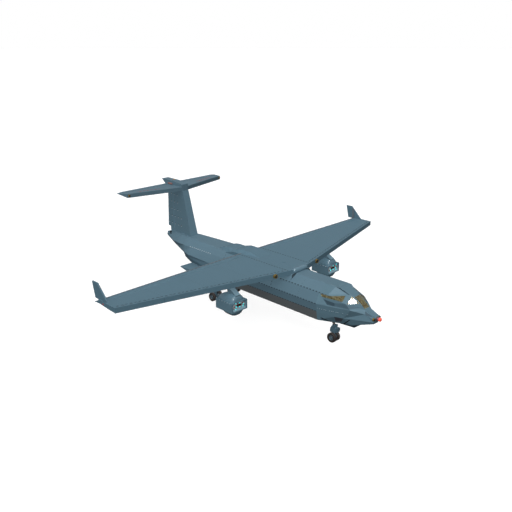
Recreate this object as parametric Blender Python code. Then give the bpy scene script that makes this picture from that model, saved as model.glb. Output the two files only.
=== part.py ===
# A military transport plane: high wing, two jets on slanted pylons, T tail, rear ramp.
# Metres, +Z up. The nose points along -Y and the port (left) wing along +X.
# Stations are distances along Y from a datum in the wing. The last step moves the
# whole aircraft so that the middle of its length stands over the origin.
import math

import bmesh
import bpy
from mathutils import Matrix, Vector

GAP = 0.0003
PANEL_CLEARANCE = 0.008
MIDDLE_STATION = -0.27

# Wing: a flat-topped wedge with a blunt leading edge and a thin trailing edge.
HALF_SPAN = 17.5
WING_TOP = 6.18
TIP_LEADING_Y = -1.56
LEADING_SWEEP = 0.263
TRAILING_ROOT_Y = 1.05
TRAILING_TIP_Y = 0.80
LEADING_DEPTH = 0.48
TRAILING_DEPTH = 0.08
CENTRE_HALF = 1.5

# Control surfaces in the trailing edge of each wing.
SURFACE_CHORD = 0.72
HINGE_GAP = 0.03
PIN_RADIUS = 0.02
FLAP_SPAN = (2.2, 10.4)
AILERON_SPAN = (10.7, 16.6)

# Fuselage section, as half widths and heights from the roof edge to the belly edge.
DECK_HALF = 0.75
WIDE_DECK_HALF = 1.15
DECK_TOP = 5.84
BELLY = 2.60
NOSE_JOINT_Y = -9.6
REAR_JOINT_Y = 3.0
TAIL_JOINT_Y = 9.45
WALL = 0.10

# Landing gear.
NOSE_GEAR_Y = -10.14
NOSE_WHEEL_RADIUS = 0.47
NOSE_WHEEL_X = 0.27
WHEEL_HALF_WIDTH = 0.15
MAIN_GEAR_Y = 4.76
MAIN_WHEEL_RADIUS = 0.47
MAIN_WHEEL_X = (0.87, 1.79)
AXLE_RADIUS = 0.07
AXLE_BORE = 0.0708

# Raised pads: one under the belly for a jack, one on top of the wing for a hoist.
JACK_PAD_Y = -4.20
JACK_PAD_HALF = 0.18
HOIST_PAD_Y = -3.80
HOIST_PAD_HALF = 0.15

# Engines.
ENGINE_X = 6.71
ENGINE_FRONT_Y = -4.65
ENGINE_REAR_Y = -2.52
ENGINE_BOX_HALF = 0.95
CAPSULE_CENTRE = (0, -5.80, 6.00)
ENGINE_AXIS_Z = 3.94
DUCT_RADIUS = 0.52
FAN_RADIUS = 0.50
FAN_Y = -4.12

# Tail.
FIN_TOP = 10.70
RUDDER_AXIS_Y = 12.95
RUDDER_BOTTOM = 6.12
RUDDER_TOP = 10.55
TAILPLANE_TOP = 11.15
TAILPLANE_UNDER = 10.72
TAILPLANE_TIP_X = 6.45
TAILPLANE_REAR_Y = 13.88
ELEVATOR_AXIS_Y = 13.25

# Ramp and aft cargo door under the tail.
RAMP_HALF = 1.30
RAMP_HINGE = (5.0, 2.72)
AFT_DOOR_HALF = 0.95
AFT_DOOR_HINGE = (10.86, 4.36)

# Crew door in the port side.
DOOR_FRONT_Y = -8.60
DOOR_REAR_Y = -7.75
DOOR_SILL = 3.05
DOOR_HEAD = 4.90
DOOR_HINGE_X = 2.16

COLOURS = {
    "blue_grey_paint": ((0.105, 0.190, 0.240), 0.45, 0.0),
    "dark_trim": ((0.030, 0.040, 0.048), 0.55, 0.0),
    "cockpit_glass": ((0.145, 0.120, 0.035), 0.12, 0.0),
    "tyre_rubber": ((0.018, 0.012, 0.010), 0.85, 0.0),
    "hub_metal": ((0.100, 0.180, 0.225), 0.40, 0.6),
    "bare_metal": ((0.320, 0.330, 0.350), 0.35, 0.9),
    "engine_metal": ((0.120, 0.045, 0.035), 0.45, 0.8),
    "cabin_lining": ((0.080, 0.090, 0.085), 0.70, 0.0),
    "floor_plate": ((0.110, 0.115, 0.120), 0.60, 0.4),
    "red_lamp": ((0.900, 0.120, 0.070), 0.25, 0.0),
    "amber_lamp": ((0.700, 0.230, 0.050), 0.25, 0.0),
    "clear_lamp": ((0.700, 0.620, 0.380), 0.20, 0.0),
}


def clear_scene():
    for obj in list(bpy.data.objects):
        bpy.data.objects.remove(obj, do_unlink=True)


def material(name):
    found = bpy.data.materials.get(name)
    if found:
        return found
    colour, roughness, metallic = COLOURS[name]
    made = bpy.data.materials.new(name)
    made.use_nodes = True
    shader = made.node_tree.nodes["Principled BSDF"]
    shader.inputs["Base Color"].default_value = (*colour, 1.0)
    shader.inputs["Roughness"].default_value = roughness
    shader.inputs["Metallic"].default_value = metallic
    return made


def from_bmesh(name, bm, paint, smooth=False):
    bmesh.ops.remove_doubles(bm, verts=bm.verts, dist=0.00001)
    bmesh.ops.recalc_face_normals(bm, faces=bm.faces)
    mesh = bpy.data.meshes.new(name)
    bm.to_mesh(mesh)
    bm.free()
    if mesh.polygons and smooth:
        mesh.shade_smooth()
        mesh.set_sharp_from_angle(angle=math.radians(35))
    obj = bpy.data.objects.new(name, mesh)
    bpy.context.scene.collection.objects.link(obj)
    mesh.materials.append(material(paint))
    return obj


def skin_patch(bm, a, b, c, d):
    """Four corners as two triangles, split along the shorter diagonal on both sides alike."""
    if (a.co - c.co).length <= (b.co - d.co).length + 0.00001:
        bm.faces.new([a, b, c])
        bm.faces.new([a, c, d])
    else:
        bm.faces.new([a, b, d])
        bm.faces.new([b, c, d])


def loft(name, rings, paint, smooth=False):
    """A solid through rings with the same number of corners, closed at both ends."""
    bm = bmesh.new()
    made = [[bm.verts.new(p) for p in ring] for ring in rings]
    count = len(made[0])
    for near, far in zip(made, made[1:]):
        for i in range(count):
            j = (i + 1) % count
            skin_patch(bm, near[i], near[j], far[j], far[i])
    bm.faces.new(made[0])
    bm.faces.new(made[-1])
    return from_bmesh(name, bm, paint, smooth)


def hull(name, points, paint):
    """The convex solid around a set of points."""
    bm = bmesh.new()
    for p in points:
        bm.verts.new(p)
    made = bmesh.ops.convex_hull(bm, input=bm.verts)
    spare = [v for v in made["geom_interior"] if isinstance(v, bmesh.types.BMVert)]
    bmesh.ops.delete(bm, geom=spare, context="VERTS")
    return from_bmesh(name, bm, paint)


def prism(name, outline, axis, low, high, paint):
    """An outline in the plane across an axis, drawn out along that axis."""
    def corner(value, u, v):
        if axis == "x":
            return (value, u, v)
        if axis == "y":
            return (u, value, v)
        return (u, v, value)
    rings = [[corner(value, u, v) for u, v in outline] for value in (low, high)]
    return loft(name, rings, paint)


def box(name, low, high, paint):
    outline = [(low[0], low[1]), (high[0], low[1]), (high[0], high[1]), (low[0], high[1])]
    return prism(name, outline, "z", low[2], high[2], paint)


def turned(name, profile, centre, axis, steps, paint):
    """A solid turned about an axis through centre. The profile is (radius, place along)."""
    rings = []
    for radius, along in profile:
        ring = []
        for i in range(steps):
            angle = 2 * math.pi * (i + 0.5) / steps
            a = radius * math.cos(angle)
            b = radius * math.sin(angle)
            offset = {"x": (along, a, b), "y": (a, along, b), "z": (a, b, along)}[axis]
            ring.append(Vector(centre) + Vector(offset))
        rings.append(ring)
    return loft(name, rings, paint, smooth=True)


def rod(name, centre, axis, radius, low, high, paint, steps=24):
    return turned(name, [(radius, low), (radius, high)], centre, axis, steps, paint)


def baked(obj):
    """Replaces the mesh with what its modifiers give."""
    bpy.context.view_layer.update()
    graph = bpy.context.evaluated_depsgraph_get()
    mesh = bpy.data.meshes.new_from_object(obj.evaluated_get(graph))
    obj.modifiers.clear()
    obj.data = mesh
    return obj


def carve(target, tool, operation="DIFFERENCE", keep_tool=False):
    step = target.modifiers.new("carve", "BOOLEAN")
    step.operation = operation
    step.solver = "EXACT"
    step.object = tool
    baked(target)
    if not keep_tool:
        bpy.data.objects.remove(tool, do_unlink=True)
    return target


def join(target, tool):
    return carve(target, tool, "UNION")


def copy_of(obj, name, move=(0, 0, 0)):
    mesh = obj.data.copy()
    mesh.transform(Matrix.Translation(move))
    made = bpy.data.objects.new(name, mesh)
    bpy.context.scene.collection.objects.link(made)
    return made


def mirrored(obj, name):
    """The same piece on the starboard side."""
    made = copy_of(obj, name)
    made.location = (-obj.location.x, obj.location.y, obj.location.z)
    made.data.transform(Matrix.Scale(-1, 4, Vector((1, 0, 0))))
    made.data.flip_normals()
    return made


def hang(obj, point):
    """Puts the origin of a moving piece on its joint's axis."""
    obj.data.transform(Matrix.Translation([-value for value in point]))
    obj.location = point
    return obj


def section(y, deck, shoulder, side, chine, belly):
    """One closed fuselage ring: five corners down the port side, five up the other."""
    port = [deck, shoulder, side, chine, belly]
    starboard = [(-x, z) for x, z in reversed(port)]
    return [(x, y, z) for x, z in port + starboard]


def main_section(y, deck_half):
    return section(y, (deck_half, DECK_TOP), (1.68, 5.23), (2.10, 4.26), (1.99, 3.50), (1.81, BELLY))


def rear_rings(low_y, high_y):
    """Rings of the rising tail between two stations."""
    stations = [
        (3.0, (1.15, 5.84), (1.68, 5.23), (2.10, 4.28), (1.99, 3.50), (1.81, 2.60)),
        (5.0, (1.12, 5.84), (1.68, 5.22), (2.10, 4.36), (1.99, 3.55), (1.81, 2.66)),
        (8.4, (0.90, 5.84), (1.68, 5.18), (2.10, 4.46), (1.95, 4.05), (1.70, 3.53)),
        (9.45, (0.84, 5.83), (1.67, 5.16), (1.78, 4.50), (1.68, 4.22), (1.52, 3.80)),
        (9.4501, (0.84, 5.83), (1.67, 5.16), (1.78, 4.50), (1.68, 4.34), (1.52, 4.12)),
        (10.9, (0.70, 5.80), (1.42, 5.09), (1.28, 4.62), (1.20, 4.46), (1.10, 4.30)),
        (12.2, (0.50, 5.74), (1.05, 4.98), (0.92, 4.72), (0.84, 4.60), (0.72, 4.50)),
        (13.75, (0.28, 5.58), (0.45, 5.10), (0.40, 4.92), (0.36, 4.84), (0.30, 4.80)),
        (14.33, (0.12, 5.38), (0.22, 5.11), (0.20, 4.98), (0.17, 4.92), (0.14, 4.89)),
    ]
    chosen = [s for s in stations if low_y - 0.00001 <= s[0] <= high_y + 0.00001]
    return [section(*s) for s in chosen]


def inset(ring, wall):
    """The same ring drawn in by about one wall thickness."""
    middle_z = (ring[0][2] + ring[4][2]) / 2
    half_height = (ring[0][2] - ring[4][2]) / 2
    inner = []
    for x, y, z in ring:
        sign = 1 if x > 0 else -1
        new_x = sign * max(abs(x) - wall * 1.05, 0.04)
        new_z = middle_z + (z - middle_z) * (half_height - wall) / half_height
        inner.append((new_x, y, new_z))
    return inner


def leading_y(x):
    return TIP_LEADING_Y - LEADING_SWEEP * (HALF_SPAN - abs(x))


def trailing_y(x):
    return TRAILING_ROOT_Y + (TRAILING_TIP_Y - TRAILING_ROOT_Y) * abs(x) / HALF_SPAN


def wing_under(x, y):
    share = (y - leading_y(x)) / (trailing_y(x) - leading_y(x))
    return WING_TOP - LEADING_DEPTH + (LEADING_DEPTH - TRAILING_DEPTH) * share


def wing_ring(x, grow=0.0):
    front = leading_y(x) - grow
    rear = trailing_y(x) + grow
    return [
        (x, front, WING_TOP + grow),
        (x, front, WING_TOP - LEADING_DEPTH - grow),
        (x, rear, WING_TOP - TRAILING_DEPTH - grow),
        (x, rear, WING_TOP + grow),
    ]


def outer_wing(name, grow=0.0):
    """The port wing outboard of the centre box, before its control surfaces are cut."""
    stations = (CENTRE_HALF + GAP - grow, 4.5, 8.0, 12.0, 15.0, HALF_SPAN)
    return loft(name, [wing_ring(x, grow) for x in stations], "blue_grey_paint")


def center_wing(name, grow=0.0):
    """The centre box, cut back in the middle of its leading edge."""
    half = CENTRE_HALF + grow
    piece = loft(name, [wing_ring(x, grow) for x in (-half, 0, half)], "blue_grey_paint")
    notch = 1.0 - grow
    carve(piece, box("t_notch", (-notch, -7.0, 5.4), (notch, CAPSULE_CENTRE[1] - grow, 6.4), "dark_trim"))
    return piece


def capsule(name, extra=0.0):
    """The round-ended fairing in the middle of the leading edge."""
    radius = 0.27 + extra
    half = 1.0 + extra
    profile = []
    for i in range(1, 7):
        angle = math.pi / 2 * i / 6
        profile.append((radius * math.sin(angle), -half + radius * (1 - math.cos(angle))))
    profile += [(r, -along) for r, along in reversed(profile)]
    return turned(name, profile, CAPSULE_CENTRE, "x", 24, "blue_grey_paint")


def make_wing():
    """The centre box, the two outer wings and the surfaces in their trailing edges."""
    centre = center_wing("wing_center")
    fairing = capsule("leading_edge_fairing")
    carve(centre, capsule("t", GAP))
    pad = HOIST_PAD_HALF
    join(centre, box("t", (-pad, HOIST_PAD_Y - pad, WING_TOP - 0.02), (pad, HOIST_PAD_Y + pad, WING_TOP + 0.02), "blue_grey_paint"))
    full = outer_wing("t_full")
    port = copy_of(full, "wing_left")
    for span in (FLAP_SPAN, AILERON_SPAN):
        front = trailing_y(span[1]) - SURFACE_CHORD
        carve(port, box("t", (span[0], front, 5.4), (span[1], 2.0, 6.6), "dark_trim"))
    mirrored(port, "wing_right")
    make_surface("flap", full, FLAP_SPAN, lowered_axis=True)
    make_surface("aileron", full, AILERON_SPAN, lowered_axis=False)
    bpy.data.objects.remove(full)
    return centre, fairing


def make_surface(name, full, span, lowered_axis):
    """A flap or aileron cut from the wing, with a wedge nose and a pin at each end."""
    front = trailing_y(span[1]) - SURFACE_CHORD + HINGE_GAP
    low = span[0] + PANEL_CLEARANCE
    high = span[1] - PANEL_CLEARANCE
    under = max(wing_under(span[0], front), wing_under(span[1], front))
    height = under + 0.045 if lowered_axis else (under + WING_TOP) / 2
    port = copy_of(full, name + "_left")
    carve(port, box("t", (low, front, 5.4), (high, 2.0, 6.6), "dark_trim"), "INTERSECT")
    top_wedge = [(front - 0.1, height + 0.03), (front, height + 0.03), (front + 0.07, WING_TOP + 0.01), (front - 0.1, WING_TOP + 0.01)]
    carve(port, prism("t", top_wedge, "x", 1.0, 18.0, "dark_trim"))
    clear = 0.02 if lowered_axis else 0.03
    low_wedge = [(front - 0.1, height - clear), (front, height - clear), (front + 0.10, 5.9), (front - 0.1, 5.9)]
    if lowered_axis:
        low_wedge[2] = (front + 0.05, height - clear - 0.05)
        low_wedge.insert(3, (front + 0.05, 5.9))
    carve(port, prism("t", low_wedge, "x", 1.0, 18.0, "dark_trim"))
    axis_y = front + PIN_RADIUS
    reach = PANEL_CLEARANCE - GAP
    for start, end in ((low - reach, low + 0.05), (high - 0.05, high + reach)):
        join(port, rod("t", (0, axis_y, height), "x", PIN_RADIUS, start, end, "bare_metal", 12))
    hang(port, ((span[0] + span[1]) / 2, axis_y, height))
    mirrored(port, name + "_right")


def make_winglets(wing):
    """Swept plates on the wing tips, each with a thin pointed plate under the tip."""
    rear = trailing_y(17.24) + GAP
    blade = [
        (-0.31, WING_TOP + GAP), (rear, WING_TOP + GAP), (rear, WING_TOP - 0.14), (0.95, WING_TOP - 0.14),
        (1.02, WING_TOP - 0.06), (1.52, WING_TOP - 0.04), (1.85, 7.54), (1.07, 7.54),
    ]
    port = prism("winglet_left", blade, "x", 17.24, 17.38, "blue_grey_paint")
    foot = [
        (-1.48, 5.72), (-0.65, 5.75), (0.69, 5.86), (1.53, 5.82), (1.00, WING_TOP - 0.14),
        (0.95, WING_TOP - 0.04), (rear - 0.02, WING_TOP - 0.04), (-1.48, 5.80),
    ]
    plate = prism("t_plate", foot, "x", 17.34, 17.497, "blue_grey_paint")
    carve(plate, wing, keep_tool=True)
    join(port, plate)
    mirrored(port, "winglet_right")


def make_hump(fuselage):
    """The fairing over and behind the wing root, shaped down to the rear deck."""
    half = 1.24
    crown = 0.80
    stations = [
        (-3.2, 6.08, 6.08), (-1.4, WING_TOP + 0.002, 6.10), (0.3, 6.42, 6.10), (1.5, 6.43, 6.10), (2.0, 6.29, 6.09),
        (2.45, 6.17, 5.96), (3.2, 6.19, 5.75), (3.7, 6.12, 5.66), (4.62, 5.845, 5.60),
    ]
    rings = []
    for y, top, edge in stations:
        rings.append([(-half, y, 5.40), (-half, y, edge), (-crown, y, top), (crown, y, top), (half, y, edge), (half, y, 5.40)])
    piece = loft("wing_root_fairing", rings, "blue_grey_paint")
    carve(piece, center_wing("t", GAP))
    carve(piece, box("t", (-2, -3.3, WING_TOP - 0.2), (2, -1.4, 7.0), "dark_trim"))
    for part in fuselage:
        carve(piece, copy_of(part, "t", (0, 0, GAP)))
    return piece


def nose_points():
    """Corners of the faceted nose on the port side, by name."""
    return {
        "deck_rear": (DECK_HALF, NOSE_JOINT_Y, DECK_TOP),
        "deck_mid": (DECK_HALF, -10.78, DECK_TOP),
        "deck_front": (DECK_HALF, -11.28, 5.82),
        "shoulder_rear": (1.68, NOSE_JOINT_Y, 5.23),
        "shoulder_front": (1.67, -10.62, 5.27),
        "brow": (0.60, -11.95, 5.38),
        "brow_front": (0.50, -12.18, 5.34),
        "screen_top": (0.38, -12.40, 5.30),
        "screen_side": (0.40, -13.19, 4.80),
        "screen_cheek": (0.47, -13.25, 4.46),
        "screen_foot": (0.36, -13.68, 4.40),
        "sill_rear": (1.83, -10.05, 4.90),
        "post_mid": (1.05, -12.00, 5.17),
        "sill_front": (1.40, -11.99, 4.88),
        "post_foot": (1.34, -12.33, 4.80),
        "side_rear": (2.10, NOSE_JOINT_Y, 4.26),
        "side_mid": (1.42, -12.14, 4.31),
        "side_front": (1.32, -12.78, 4.36),
        "side_nose": (0.42, -13.72, 4.34),
        "cheek_nose": (0.55, -13.80, 4.08),
        "chine_rear": (1.99, NOSE_JOINT_Y, 3.50),
        "chine_mid": (1.51, -11.29, 3.35),
        "chine_front": (1.31, -12.05, 3.40),
        "chine_nose": (0.36, -14.62, 3.50),
        "tip_top": (0.28, -14.75, 4.00),
        "tip_side": (0.36, -14.62, 3.82),
        "belly_rear": (1.81, NOSE_JOINT_Y, BELLY),
        "belly_mid": (1.03, -11.40, 2.62),
        "belly_front": (0.85, -12.60, 2.74),
        "belly_nose": (0.28, -14.58, 3.32),
        "keel_mid": (0.0, -11.60, 2.60),
        "keel_chin": (0.0, -12.38, 2.14),
        "keel_front": (0.0, -13.20, 2.76),
    }


def nose_faces():
    """The faces of the port half of the nose, by their corners' names."""
    return [
        ("deck_rear", "shoulder_rear", "shoulder_front", "deck_mid"),
        ("deck_mid", "shoulder_front", "brow"),
        ("deck_front", "deck_mid", "brow"),
        ("deck_front", "brow", "brow_front"),
        ("deck_front", "brow_front", "screen_top"),
        ("shoulder_rear", "sill_rear", "shoulder_front"),
        ("shoulder_front", "sill_rear", "sill_front"),
        ("shoulder_front", "sill_front", "post_mid"),
        ("shoulder_front", "post_mid", "brow"),
        ("brow", "post_mid", "brow_front"),
        ("brow_front", "post_mid", "post_foot"),
        ("post_mid", "sill_front", "post_foot"),
        ("brow_front", "post_foot", "screen_side"),
        ("brow_front", "screen_side", "screen_top"),
        ("shoulder_rear", "side_rear", "sill_rear"),
        ("sill_rear", "side_rear", "side_mid"),
        ("sill_rear", "side_mid", "sill_front"),
        ("sill_front", "side_mid", "side_front"),
        ("sill_front", "side_front", "post_foot"),
        ("post_foot", "side_front", "screen_cheek"),
        ("post_foot", "screen_cheek", "screen_side"),
        ("screen_side", "screen_cheek", "screen_foot"),
        ("screen_cheek", "side_front", "side_nose"),
        ("screen_cheek", "side_nose", "screen_foot"),
        ("screen_foot", "side_nose", "cheek_nose"),
        ("screen_foot", "cheek_nose", "tip_side"),
        ("screen_foot", "tip_side", "tip_top"),
        ("side_rear", "chine_rear", "chine_mid"),
        ("side_rear", "chine_mid", "side_mid"),
        ("side_mid", "chine_mid", "chine_front"),
        ("side_mid", "chine_front", "side_front"),
        ("side_front", "chine_front", "cheek_nose"),
        ("side_front", "cheek_nose", "side_nose"),
        ("chine_front", "chine_nose", "cheek_nose"),
        ("cheek_nose", "chine_nose", "tip_side"),
        ("chine_rear", "belly_rear", "chine_mid"),
        ("belly_rear", "belly_mid", "chine_mid"),
        ("chine_mid", "belly_mid", "chine_front"),
        ("chine_front", "belly_mid", "belly_front"),
        ("chine_front", "belly_front", "belly_nose"),
        ("chine_front", "belly_nose", "chine_nose"),
        ("belly_mid", "keel_mid", "keel_chin"),
        ("belly_mid", "keel_chin", "belly_front"),
        ("belly_front", "keel_chin", "keel_front"),
        ("belly_front", "keel_front", "belly_nose"),
    ]


def nose_solid(name):
    """The whole outer form of the nose, before it is hollowed."""
    bm = bmesh.new()
    corners = {}
    for key, (x, y, z) in nose_points().items():
        corners[key, 1] = bm.verts.new((x, y, z))
        corners[key, -1] = corners[key, 1] if x == 0 else bm.verts.new((-x, y, z))
    for face in nose_faces():
        bm.faces.new([corners[key, 1] for key in face])
        bm.faces.new([corners[key, -1] for key in reversed(face)])
    across = [
        ("deck_rear", "deck_mid", "deck_front"),
        ("deck_front", "screen_top"),
        ("screen_top", "screen_side", "screen_foot"),
        ("screen_foot", "tip_top"),
        ("tip_top", "tip_side", "chine_nose", "belly_nose"),
    ]
    for line in across:
        port = [corners[key, 1] for key in line]
        starboard = [corners[key, -1] for key in reversed(line)]
        bm.faces.new(port + starboard)
    bm.faces.new([corners["belly_nose", 1], corners["keel_front", 1], corners["belly_nose", -1]])
    bm.faces.new([corners[key, side] for key, side in (
        ("belly_rear", 1), ("belly_mid", 1), ("keel_mid", 1), ("belly_mid", -1), ("belly_rear", -1))])
    rear = ("deck_rear", "shoulder_rear", "side_rear", "chine_rear", "belly_rear")
    bm.faces.new([corners[key, 1] for key in rear] + [corners[key, -1] for key in reversed(rear)])
    bmesh.ops.triangulate(bm, faces=[f for f in bm.faces if len(f.verts) > 3])
    return from_bmesh(name, bm, "blue_grey_paint")


def cabin_hollow(name, shrink=0.0):
    """The space inside the nose, one wall inside its skin."""
    port = [
        (0.66, -9.5, 5.74), (1.58, -9.5, 5.17), (1.98, -9.5, 4.26), (1.88, -9.5, 3.50), (1.70, -9.5, 2.72),
        (0.64, -10.70, 5.73), (1.56, -10.60, 5.17), (1.64, -10.60, 4.30), (1.48, -11.00, 3.50),
        (0.62, -11.18, 5.70), (0.48, -11.90, 5.30), (0.92, -11.93, 5.10), (1.22, -11.90, 4.86),
        (1.16, -12.22, 4.76), (1.26, -11.95, 4.36), (1.05, -12.50, 4.22), (0.30, -13.03, 4.76),
        (1.22, -11.90, 3.60), (0.90, -11.30, 2.76), (0.66, -12.40, 2.92),
        (0.27, -12.48, 5.12), (0.25, -13.42, 4.26), (0.25, -14.00, 3.98), (0.25, -14.10, 3.62),
    ]
    points = []
    for x, y, z in port:
        x = x - shrink
        y = y + shrink if y < -9.5 else y
        z = z - shrink if z > 4 else z + shrink
        points += [(x, y, z), (-x, y, z)]
    return hull(name, points, "cabin_lining")


def drawn_in(outline, share):
    """An outline scaled about its middle."""
    u = sum(p[0] for p in outline) / len(outline)
    v = sum(p[1] for p in outline) / len(outline)
    return [(u + (a - u) * share, v + (b - v) * share) for a, b in outline]


def window_cutters(share=1.0):
    """Prisms through the nose, one for each pane on the port side and one in the middle."""
    side = [(-9.78, 5.19), (-9.98, 4.98), (-11.93, 4.94), (-11.94, 5.13), (-11.84, 5.31), (-10.62, 5.21)]
    quarter = [(0.48, 5.29), (1.27, 4.82), (0.42, 4.83)]
    centre = [(0.35, 5.25), (0.34, 4.47), (-0.34, 4.47), (-0.35, 5.25)]
    return {
        "side": prism("t_side", drawn_in(side, share), "x", 0.30, 2.4, "dark_trim"),
        "quarter": prism("t_quarter", drawn_in(quarter, share), "y", -14.4, -11.8, "dark_trim"),
        "centre": prism("t_centre", drawn_in(centre, share), "y", -14.6, -11.9, "dark_trim"),
    }


def side_recess():
    """The shallow recess under the port side window, deepest along its lower edge."""
    corners = [(1.820, -10.191, 4.787), (1.566, -11.243, 4.691), (1.604, -11.354, 4.404), (1.775, -10.690, 4.421)]
    outward = (0.943, -0.248, 0.223)
    points = []
    for depth, group in ((-0.06, corners), (0.002, corners[:2]), (0.07, corners[2:])):
        for corner in group:
            points.append(tuple(c - depth * n for c, n in zip(corner, outward)))
    return hull("t_recess", points, "dark_trim")


def make_nose():
    """The hollow nose shell with its windows cut, and the panes that fill them."""
    outer = nose_solid("fuselage_nose")
    skin = copy_of(outer, "t_skin")
    carve(outer, cabin_hollow("t"))
    tools = window_cutters()
    for key in ("side", "quarter"):
        far = mirrored(tools[key], "t")
        carve(outer, tools[key])
        carve(outer, far)
    carve(outer, tools["centre"])
    recess = side_recess()
    far = mirrored(recess, "t")
    carve(outer, recess)
    carve(outer, far)
    bay = [(-0.42, -11.10), (0.42, -11.10), (0.42, -9.72), (-0.42, -9.72)]
    carve(outer, prism("t", bay, "z", 2.2, 3.2, "dark_trim"))
    tools = window_cutters(0.9985)
    depth = {"side": (-0.035, 0, 0), "quarter": (-0.03, 0.03, 0), "centre": (0, 0.035, 0)}
    names = {"side": "side_window", "quarter": "windscreen", "centre": "windscreen_center"}
    for key, tool in tools.items():
        pane = copy_of(skin, names[key] + ("" if key == "centre" else "_left"))
        carve(pane, tool, "INTERSECT")
        carve(pane, copy_of(skin, "t", depth[key]))
        pane.data.materials.clear()
        pane.data.materials.append(material("cockpit_glass"))
        if key != "centre":
            mirrored(pane, names[key] + "_right")
    bpy.data.objects.remove(skin)
    lamp_y = -14.90
    profile = [(0.10, -0.20), (0.16, -0.17), (0.18, -0.08), (0.18, 0.30)]
    lamp = turned("nose_lamp", profile, (0, lamp_y, 3.80), "y", 16, "red_lamp")
    carve(lamp, copy_of(nose_solid("t_nose"), "t", (0, -GAP, 0)))
    bpy.data.objects.remove(bpy.data.objects["t_nose"])
    return outer


def make_cabin():
    """Flight deck floor, its bulkhead, two crew seats and the instrument panel."""
    floor_z = 3.85
    floor = cabin_hollow("cockpit_floor", GAP)
    for low, high in (((-3, -16, 0), (3, -9, floor_z - 0.08)), ((-3, -16, floor_z), (3, -9, 8)),
                      ((-3, -16, 0), (3, -12.3, 8)), ((-3, NOSE_JOINT_Y + 0.02, 0), (3, -9, 8))):
        carve(floor, box("t", low, high, "dark_trim"))
    floor.data.materials.clear()
    floor.data.materials.append(material("floor_plate"))
    seat = None
    base_z = floor_z + GAP
    for side in (1, -1):
        x = 0.48 * side
        outline = [
            (-11.30, base_z + 0.38), (-10.85, base_z + 0.36), (-10.72, base_z + 1.05), (-10.60, base_z + 1.05),
            (-10.70, base_z + 0.22), (-10.95, base_z + 0.20), (-10.95, base_z), (-11.15, base_z),
            (-11.15, base_z + 0.20), (-11.30, base_z + 0.24),
        ]
        piece = prism("crew_seats", outline, "x", x - 0.25, x + 0.25, "cabin_lining")
        seat = join(seat, piece) if seat else piece
    join(seat, box("t", (-0.5, -11.10, base_z), (0.5, -11.00, base_z + 0.06), "dark_trim"))
    seat.name = "crew_seats"
    panel_outline = [(-12.22, base_z), (-12.05, base_z), (-11.95, base_z + 0.62), (-12.10, base_z + 0.74)]
    prism("instrument_panel", panel_outline, "x", -0.72, 0.72, "dark_trim")


def make_center():
    """The hollow hold from the nose joint to the rear joint, with the crew door opening."""
    stations = [(NOSE_JOINT_Y + GAP, DECK_HALF), (-6.05, DECK_HALF), (-6.0, WIDE_DECK_HALF), (REAR_JOINT_Y - GAP, WIDE_DECK_HALF)]
    rings = [main_section(y, deck) for y, deck in stations]
    outer = loft("fuselage_center", rings, "blue_grey_paint")
    inner = [inset(main_section(y, DECK_HALF if y < -6 else 1.10), WALL) for y in (NOSE_JOINT_Y - 0.1, -6.06, -5.9, REAR_JOINT_Y + 0.1)]
    door = copy_of(outer, "crew_door")
    whole = copy_of(outer, "t_center")
    carve(outer, loft("t", inner, "cabin_lining"))
    opening = [
        (DOOR_FRONT_Y, DOOR_SILL), (DOOR_REAR_Y, DOOR_SILL), (DOOR_REAR_Y, DOOR_HEAD), (DOOR_FRONT_Y, DOOR_HEAD),
    ]
    carve(outer, prism("t", opening, "x", 1.3, 2.6, "dark_trim"))
    c = PANEL_CLEARANCE
    leaf = [
        (DOOR_FRONT_Y + c, DOOR_SILL + c), (DOOR_REAR_Y - c, DOOR_SILL + c),
        (DOOR_REAR_Y - c, DOOR_HEAD - c), (DOOR_FRONT_Y + c, DOOR_HEAD - c),
    ]
    carve(door, prism("t", leaf, "x", 1.3, 2.6, "dark_trim"), "INTERSECT")
    carve(door, loft("t", inner, "cabin_lining"))
    for height in (3.45, 4.35):
        arm = [
            (1.98, DOOR_FRONT_Y + 0.06), (DOOR_HINGE_X - 0.025, DOOR_FRONT_Y - 0.03), (DOOR_HINGE_X + 0.02, DOOR_FRONT_Y - 0.03),
            (DOOR_HINGE_X + 0.035, DOOR_FRONT_Y), (2.00, DOOR_FRONT_Y + 0.20),
        ]
        join(door, prism("t", arm, "z", height, height + 0.08, "blue_grey_paint"))
        lug = [
            (1.98, DOOR_FRONT_Y - 0.14), (DOOR_HINGE_X + 0.03, DOOR_FRONT_Y - 0.06), (DOOR_HINGE_X + 0.03, DOOR_FRONT_Y + 0.02),
            (DOOR_HINGE_X - 0.01, DOOR_FRONT_Y + 0.02), (1.98, DOOR_FRONT_Y - 0.02),
        ]
        join(outer, prism("t", lug, "z", height + 0.08 + GAP, height + 0.14, "blue_grey_paint"))
    hang(door, (DOOR_HINGE_X, DOOR_FRONT_Y, 3.9))
    pad = JACK_PAD_HALF
    join(outer, box("t", (-pad, JACK_PAD_Y - pad, BELLY - 0.03), (pad, JACK_PAD_Y + pad, BELLY + 0.02), "blue_grey_paint"))
    bulk = inset(main_section(NOSE_JOINT_Y + 0.05, DECK_HALF), WALL + GAP)
    plate = loft("cockpit_bulkhead", [bulk, [(x, y + 0.06, z) for x, y, z in bulk]], "cabin_lining")
    carve(plate, box("t", (-0.40, -9.8, 3.85), (0.40, -9.3, 5.45), "dark_trim"))
    carve(plate, box("t", (-2, -9.8, 2.0), (2, -9.3, 2.75), "dark_trim"))
    return outer, whole


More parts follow.
